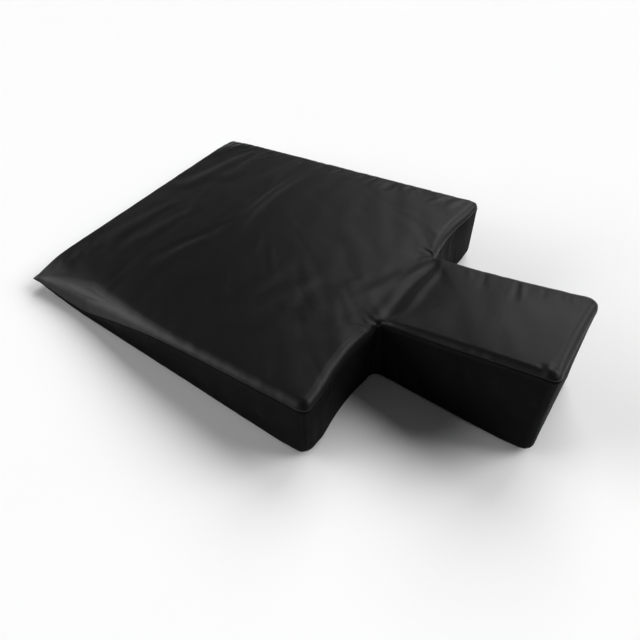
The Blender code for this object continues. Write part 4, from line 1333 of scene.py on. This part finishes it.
def add_tape(node):
    """A tape as a closed ribbon with a thicker corded edge, swept along the thin edge."""
    low, high, way, outer_edge = zip_half(node)
    half_thick = (high.x - low.x) / 2
    middle_x = (high.x + low.x) / 2
    inner_edge = way * TAPE_INNER_GAP
    stations = np.array([0, 0.25, 0.5, 0.8, 1.0]) * way * TAPE_BEAD + inner_edge
    profile = list(zip(stations, np.array([0.25, 0.9, 1.0, 0.8, 0.55]) * half_thick))
    tape_width = outer_edge - inner_edge
    profile += [(inner_edge + tape_width * share, 0.5 * half_thick) for share in (0.35, 0.6, 0.85, 1.0)]
    ring = profile + [(z, -t) for z, t in reversed(profile)]
    ys = np.arange(low.y, high.y + 1e-6, (high.y - low.y) / round((high.y - low.y) / TAPE_STEP))
    sway = np.random.default_rng(11 + way).normal(0, TAPE_SWAY, len(ys))
    points = [(middle_x + t + sway[i], y, zip_middle + z) for i, y in enumerate(ys) for z, t in ring]
    count = len(ring)
    faces = [
        (i * count + j, i * count + (j + 1) % count, (i + 1) * count + (j + 1) % count, (i + 1) * count + j)
        for i in range(len(ys) - 1) for j in range(count)
    ]
    last_ring = (len(ys) - 1) * count
    faces += [tuple(range(count))[::-1], tuple(last_ring + j for j in range(count))]
    made = new_object(node + "_woven", points, faces, tape_material)
    outwards(made.data)
    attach(made, "cushion")
    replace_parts(made, node)


def outwards(mesh, merge=0.0):
    """Turns a closed mesh's faces outwards, after merging its doubles."""
    work = bmesh.new()
    work.from_mesh(mesh)
    if merge:
        bmesh.ops.remove_doubles(work, verts=work.verts, dist=merge)
    bmesh.ops.recalc_face_normals(work, faces=work.faces)
    work.to_mesh(mesh)
    work.free()


for node in ("zip_tape_upper", "zip_tape_lower"):
    add_tape(node)

# Zip teeth: each half is one nylon monofilament wound into a flat coil and sewn along its tape. The
# halves are drawn half a turn apart, as if they meshed.
COIL_PITCH = 0.0014
COIL_WIRE = 0.00075
COIL_INNER_GAP = 0.00050

# Black nylon monofilament: glossy, drawn smooth, a little scuffed where the slider runs.
coil_material, tree, shader, spot = start_material("nylon_monofilament")
scuff = noise(tree, spot, scale=700.0, detail=3.0)
patches = noise(tree, spot, scale=45.0, detail=2.0)
tone = mixed(tree, scuff, "#101011", "#222224")
gloss = ranged(tree, patches, 0.28, 0.46)
marks = relief(tree, scuff, strength=0.15, distance=0.00005)
set_inputs(tree, shader, Base_Color=tone, Roughness=gloss, Normal=marks)

tree, given = start_tree("wound_coil", [
    ("Length", "Float"), ("Pitch", "Float"), ("Width", "Float"), ("Thickness", "Float"), ("Wire", "Float"),
])
turns = add_node(tree, "ShaderNodeMath", {"operation": "DIVIDE"}, i0=given["Length"], i1=given["Pitch"])
spiral = add_node(
    tree, "GeometryNodeCurveSpiral",
    Resolution=9, Rotations=turns.outputs[0], Start_Radius=0.5, End_Radius=0.5, Height=given["Length"],
)
size = add_node(tree, "ShaderNodeCombineXYZ", X=given["Thickness"], Y=given["Width"], Z=1.0)
flat = add_node(tree, "GeometryNodeTransform", Geometry=spiral.outputs[0], Scale=size.outputs[0])
laid = add_node(tree, "GeometryNodeTransform", Geometry=flat.outputs[0], Rotation=(-math.pi / 2, 0, 0))
half_wire = product(tree, given["Wire"], 0.5)
ring = add_node(tree, "GeometryNodeCurvePrimitiveCircle", Resolution=5, Radius=half_wire)
wire = add_node(
    tree, "GeometryNodeCurveToMesh",
    Curve=laid.outputs[0], Profile_Curve=ring.outputs["Curve"], Fill_Caps=True,
)
end_tree(tree, wire.outputs[0], given["Look"])
coil_tree = tree


def add_coil(node, start_share):
    """Half of the teeth, wound inside its solid's box and up to a narrow gap at the middle."""
    low, high, way, outer_edge = zip_half(node)
    width = abs(outer_edge) - COIL_INNER_GAP - COIL_WIRE
    length = high.y - low.y - COIL_WIRE - COIL_PITCH / 2
    values = {
        "Length": length, "Pitch": COIL_PITCH, "Width": width,
        "Thickness": high.x - low.x - COIL_WIRE, "Wire": COIL_WIRE, "Look": coil_material,
    }
    middle_z = zip_middle + way * (COIL_INNER_GAP + COIL_WIRE / 2 + width / 2)
    start_y = low.y + COIL_WIRE / 2 + start_share * COIL_PITCH
    name = node + "_wound"
    made = grow(name, new_object(name, [], []), coil_tree, values, ((low.x + high.x) / 2, start_y, middle_z))
    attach(made, "cushion")
    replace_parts(made, node)


add_coil("zip_coil_upper", 0.0)
add_coil("zip_coil_lower", 0.5)

# Stops, slider and pull tab: zinc castings with a black baked finish. Their edges are broken by
# tumbling, and the finish is rubbed through to grey on the corners.
CASTING_BEVEL = 0.00018
BEVEL_FROM_DEGREES = 35
SHARP_FROM_DEGREES = 40
RIB_START = 0.0022
RIB_COUNT = 6
RIB_PITCH = 0.0013
RIB_WIDTH = 0.0044
RIB_THICKNESS = 0.00055

metal_material, tree, shader, spot = start_material("black_baked_zinc")
edges = add_node(tree, "ShaderNodeNewGeometry").outputs["Pointiness"]
wear = noise(tree, spot, scale=500.0, detail=4.0)
dimples = noise(tree, spot, scale=2500.0, detail=2.0)
worn = product(tree, ranged(tree, edges, 0.0, 1.0, low=0.52, high=0.60), wear)
tone = mixed(tree, worn, "#161617", "#6c6d70")
gloss = ranged(tree, wear, 0.30, 0.42)
peel = relief(tree, dimples, strength=0.2, distance=0.00004)
set_inputs(tree, shader, Base_Color=tone, Metallic=worn, Roughness=gloss, Normal=peel)


def add_casting(node, body):
    """A casting with its edges broken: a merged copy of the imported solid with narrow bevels."""
    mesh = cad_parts[node].data.copy()
    outwards(mesh, merge=1e-6)
    made = place_object(node + "_cast", mesh)
    mesh.materials.clear()
    mesh.materials.append(metal_material)
    bevel = made.modifiers.new("bevel", "BEVEL")
    bevel.width = CASTING_BEVEL
    bevel.segments = 3
    bevel.limit_method = "ANGLE"
    bevel.angle_limit = math.radians(BEVEL_FROM_DEGREES)
    done = bpy.data.meshes.new_from_object(made.evaluated_get(bpy.context.evaluated_depsgraph_get()))
    made.modifiers.clear()
    made.data = done
    done.name = node + "_cast"
    done.shade_smooth()
    done.set_sharp_from_angle(angle=math.radians(SHARP_FROM_DEGREES))
    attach(made, body)
    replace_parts(made, node)


for node in ("zip_top_stop_upper", "zip_top_stop_lower", "zip_bottom_stop"):
    add_casting(node, "cushion")
add_casting("zip_slider", "slider")
add_casting("zip_pull_tab", "pull_tab")

tree, given = start_tree("grip_ribs", [
    ("Count", "Int"), ("Pitch", "Float"), ("Width", "Float"), ("Thickness", "Float"),
])
step = add_node(tree, "ShaderNodeCombineXYZ", Y=given["Pitch"])
spots = add_node(tree, "GeometryNodeMeshLine", Count=given["Count"], Offset=step.outputs[0])
bar = add_node(tree, "GeometryNodeMeshUVSphere", Segments=12, Rings=7, Radius=0.5)
size = add_node(tree, "ShaderNodeCombineXYZ", X=given["Thickness"], Y=given["Thickness"], Z=given["Width"])
placed = add_node(
    tree, "GeometryNodeInstanceOnPoints",
    Points=spots.outputs[0], Instance=bar.outputs[0], Scale=size.outputs[0],
)
end_tree(tree, placed.outputs[0], given["Look"])
tab_low, tab_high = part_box("zip_pull_tab")
values = {
    "Count": RIB_COUNT, "Pitch": RIB_PITCH, "Width": RIB_WIDTH, "Thickness": RIB_THICKNESS,
    "Look": metal_material,
}
for side, face_x in (("outer", tab_low.x), ("inner", tab_high.x)):
    name = f"zip_pull_tab_grip_{side}"
    first_rib = (face_x, tab_low.y + RIB_START, (tab_low.z + tab_high.z) / 2)
    ribs = grow(name, new_object(name, [], []), tree, values, first_rib)
    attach(ribs, "pull_tab")

# Floor: a matt white studio board, painted, with hardly any grain and a soft unevenness in its tone.
# It lies a hair below the cushion, so that the two don't share a plane.
FLOOR_SIZE = 30.0
FLOOR_DROP = 0.0002

floor_material, tree, shader, spot = start_material("matt_white_board")
tone = mixed(tree, noise(tree, spot, scale=3.0, detail=2.0), "#f6f6f6", "#f9f9f9")
set_inputs(tree, shader, Base_Color=tone, Roughness=0.9, Specular_IOR_Level=0.1)
half_floor = FLOOR_SIZE / 2
corners = [
    (x * half_floor, y * half_floor, -FLOOR_DROP) for x, y in ((-1, -1), (1, -1), (1, 1), (-1, 1))
]
new_object("floor", corners, [(0, 1, 2, 3)], floor_material)

# Lamps: four wide, soft studio lamps, low at the left and higher at the back and right, where the
# picture's sheen on the cloth shows them.
LAMP_DISTANCE = 3


def add_lamp(name, direction, width, level):
    """A soft round lamp: its direction, its width in degrees and how brightly it lights a white board."""
    lamp = bpy.data.lights.new(name, "SUN")
    lamp.angle = math.radians(width)
    lamp.energy = level * math.pi
    made = place_object(name, lamp)
    way = Vector(direction).normalized()
    made.location = way * LAMP_DISTANCE
    made.rotation_euler = way.to_track_quat("Z", "Y").to_euler()


add_lamp("lamp_left", (-0.80, -0.53, 0.28), 32, 0.50)
add_lamp("lamp_left_high", (-0.88, -0.14, 0.46), 26, 0.17)
add_lamp("lamp_back", (-0.14, 0.71, 0.69), 40, 0.52)
add_lamp("lamp_right", (0.58, 0.54, 0.61), 36, 0.66)

# Room: pale walls round the floor, and a ceiling that is much darker. Both levels are grey, from
# black at zero to white at one, and heights are the sine of the angle above the floor.
WALL_TOP = 0.03
CEILING_START = 0.22
WALL_LEVEL = 0.62
CEILING_LEVEL = 0.06

world = bpy.data.worlds.new("studio")
bpy.context.scene.world = world
world.use_nodes = True
world.node_tree.nodes.clear()
tree = world.node_tree
way = add_node(tree, "ShaderNodeTexCoord").outputs["Generated"]
parts = add_node(tree, "ShaderNodeSeparateXYZ", Vector=way)
level = add_node(
    tree, "ShaderNodeMapRange", {"interpolation_type": "SMOOTHSTEP"},
    i0=parts.outputs[2], i1=WALL_TOP, i2=CEILING_START, i3=WALL_LEVEL, i4=CEILING_LEVEL,
)
light = add_node(tree, "ShaderNodeBackground", Color=level.outputs[0])
add_node(tree, "ShaderNodeOutputWorld", Surface=light.outputs[0])
bpy.context.scene.view_settings.view_transform = "Standard"
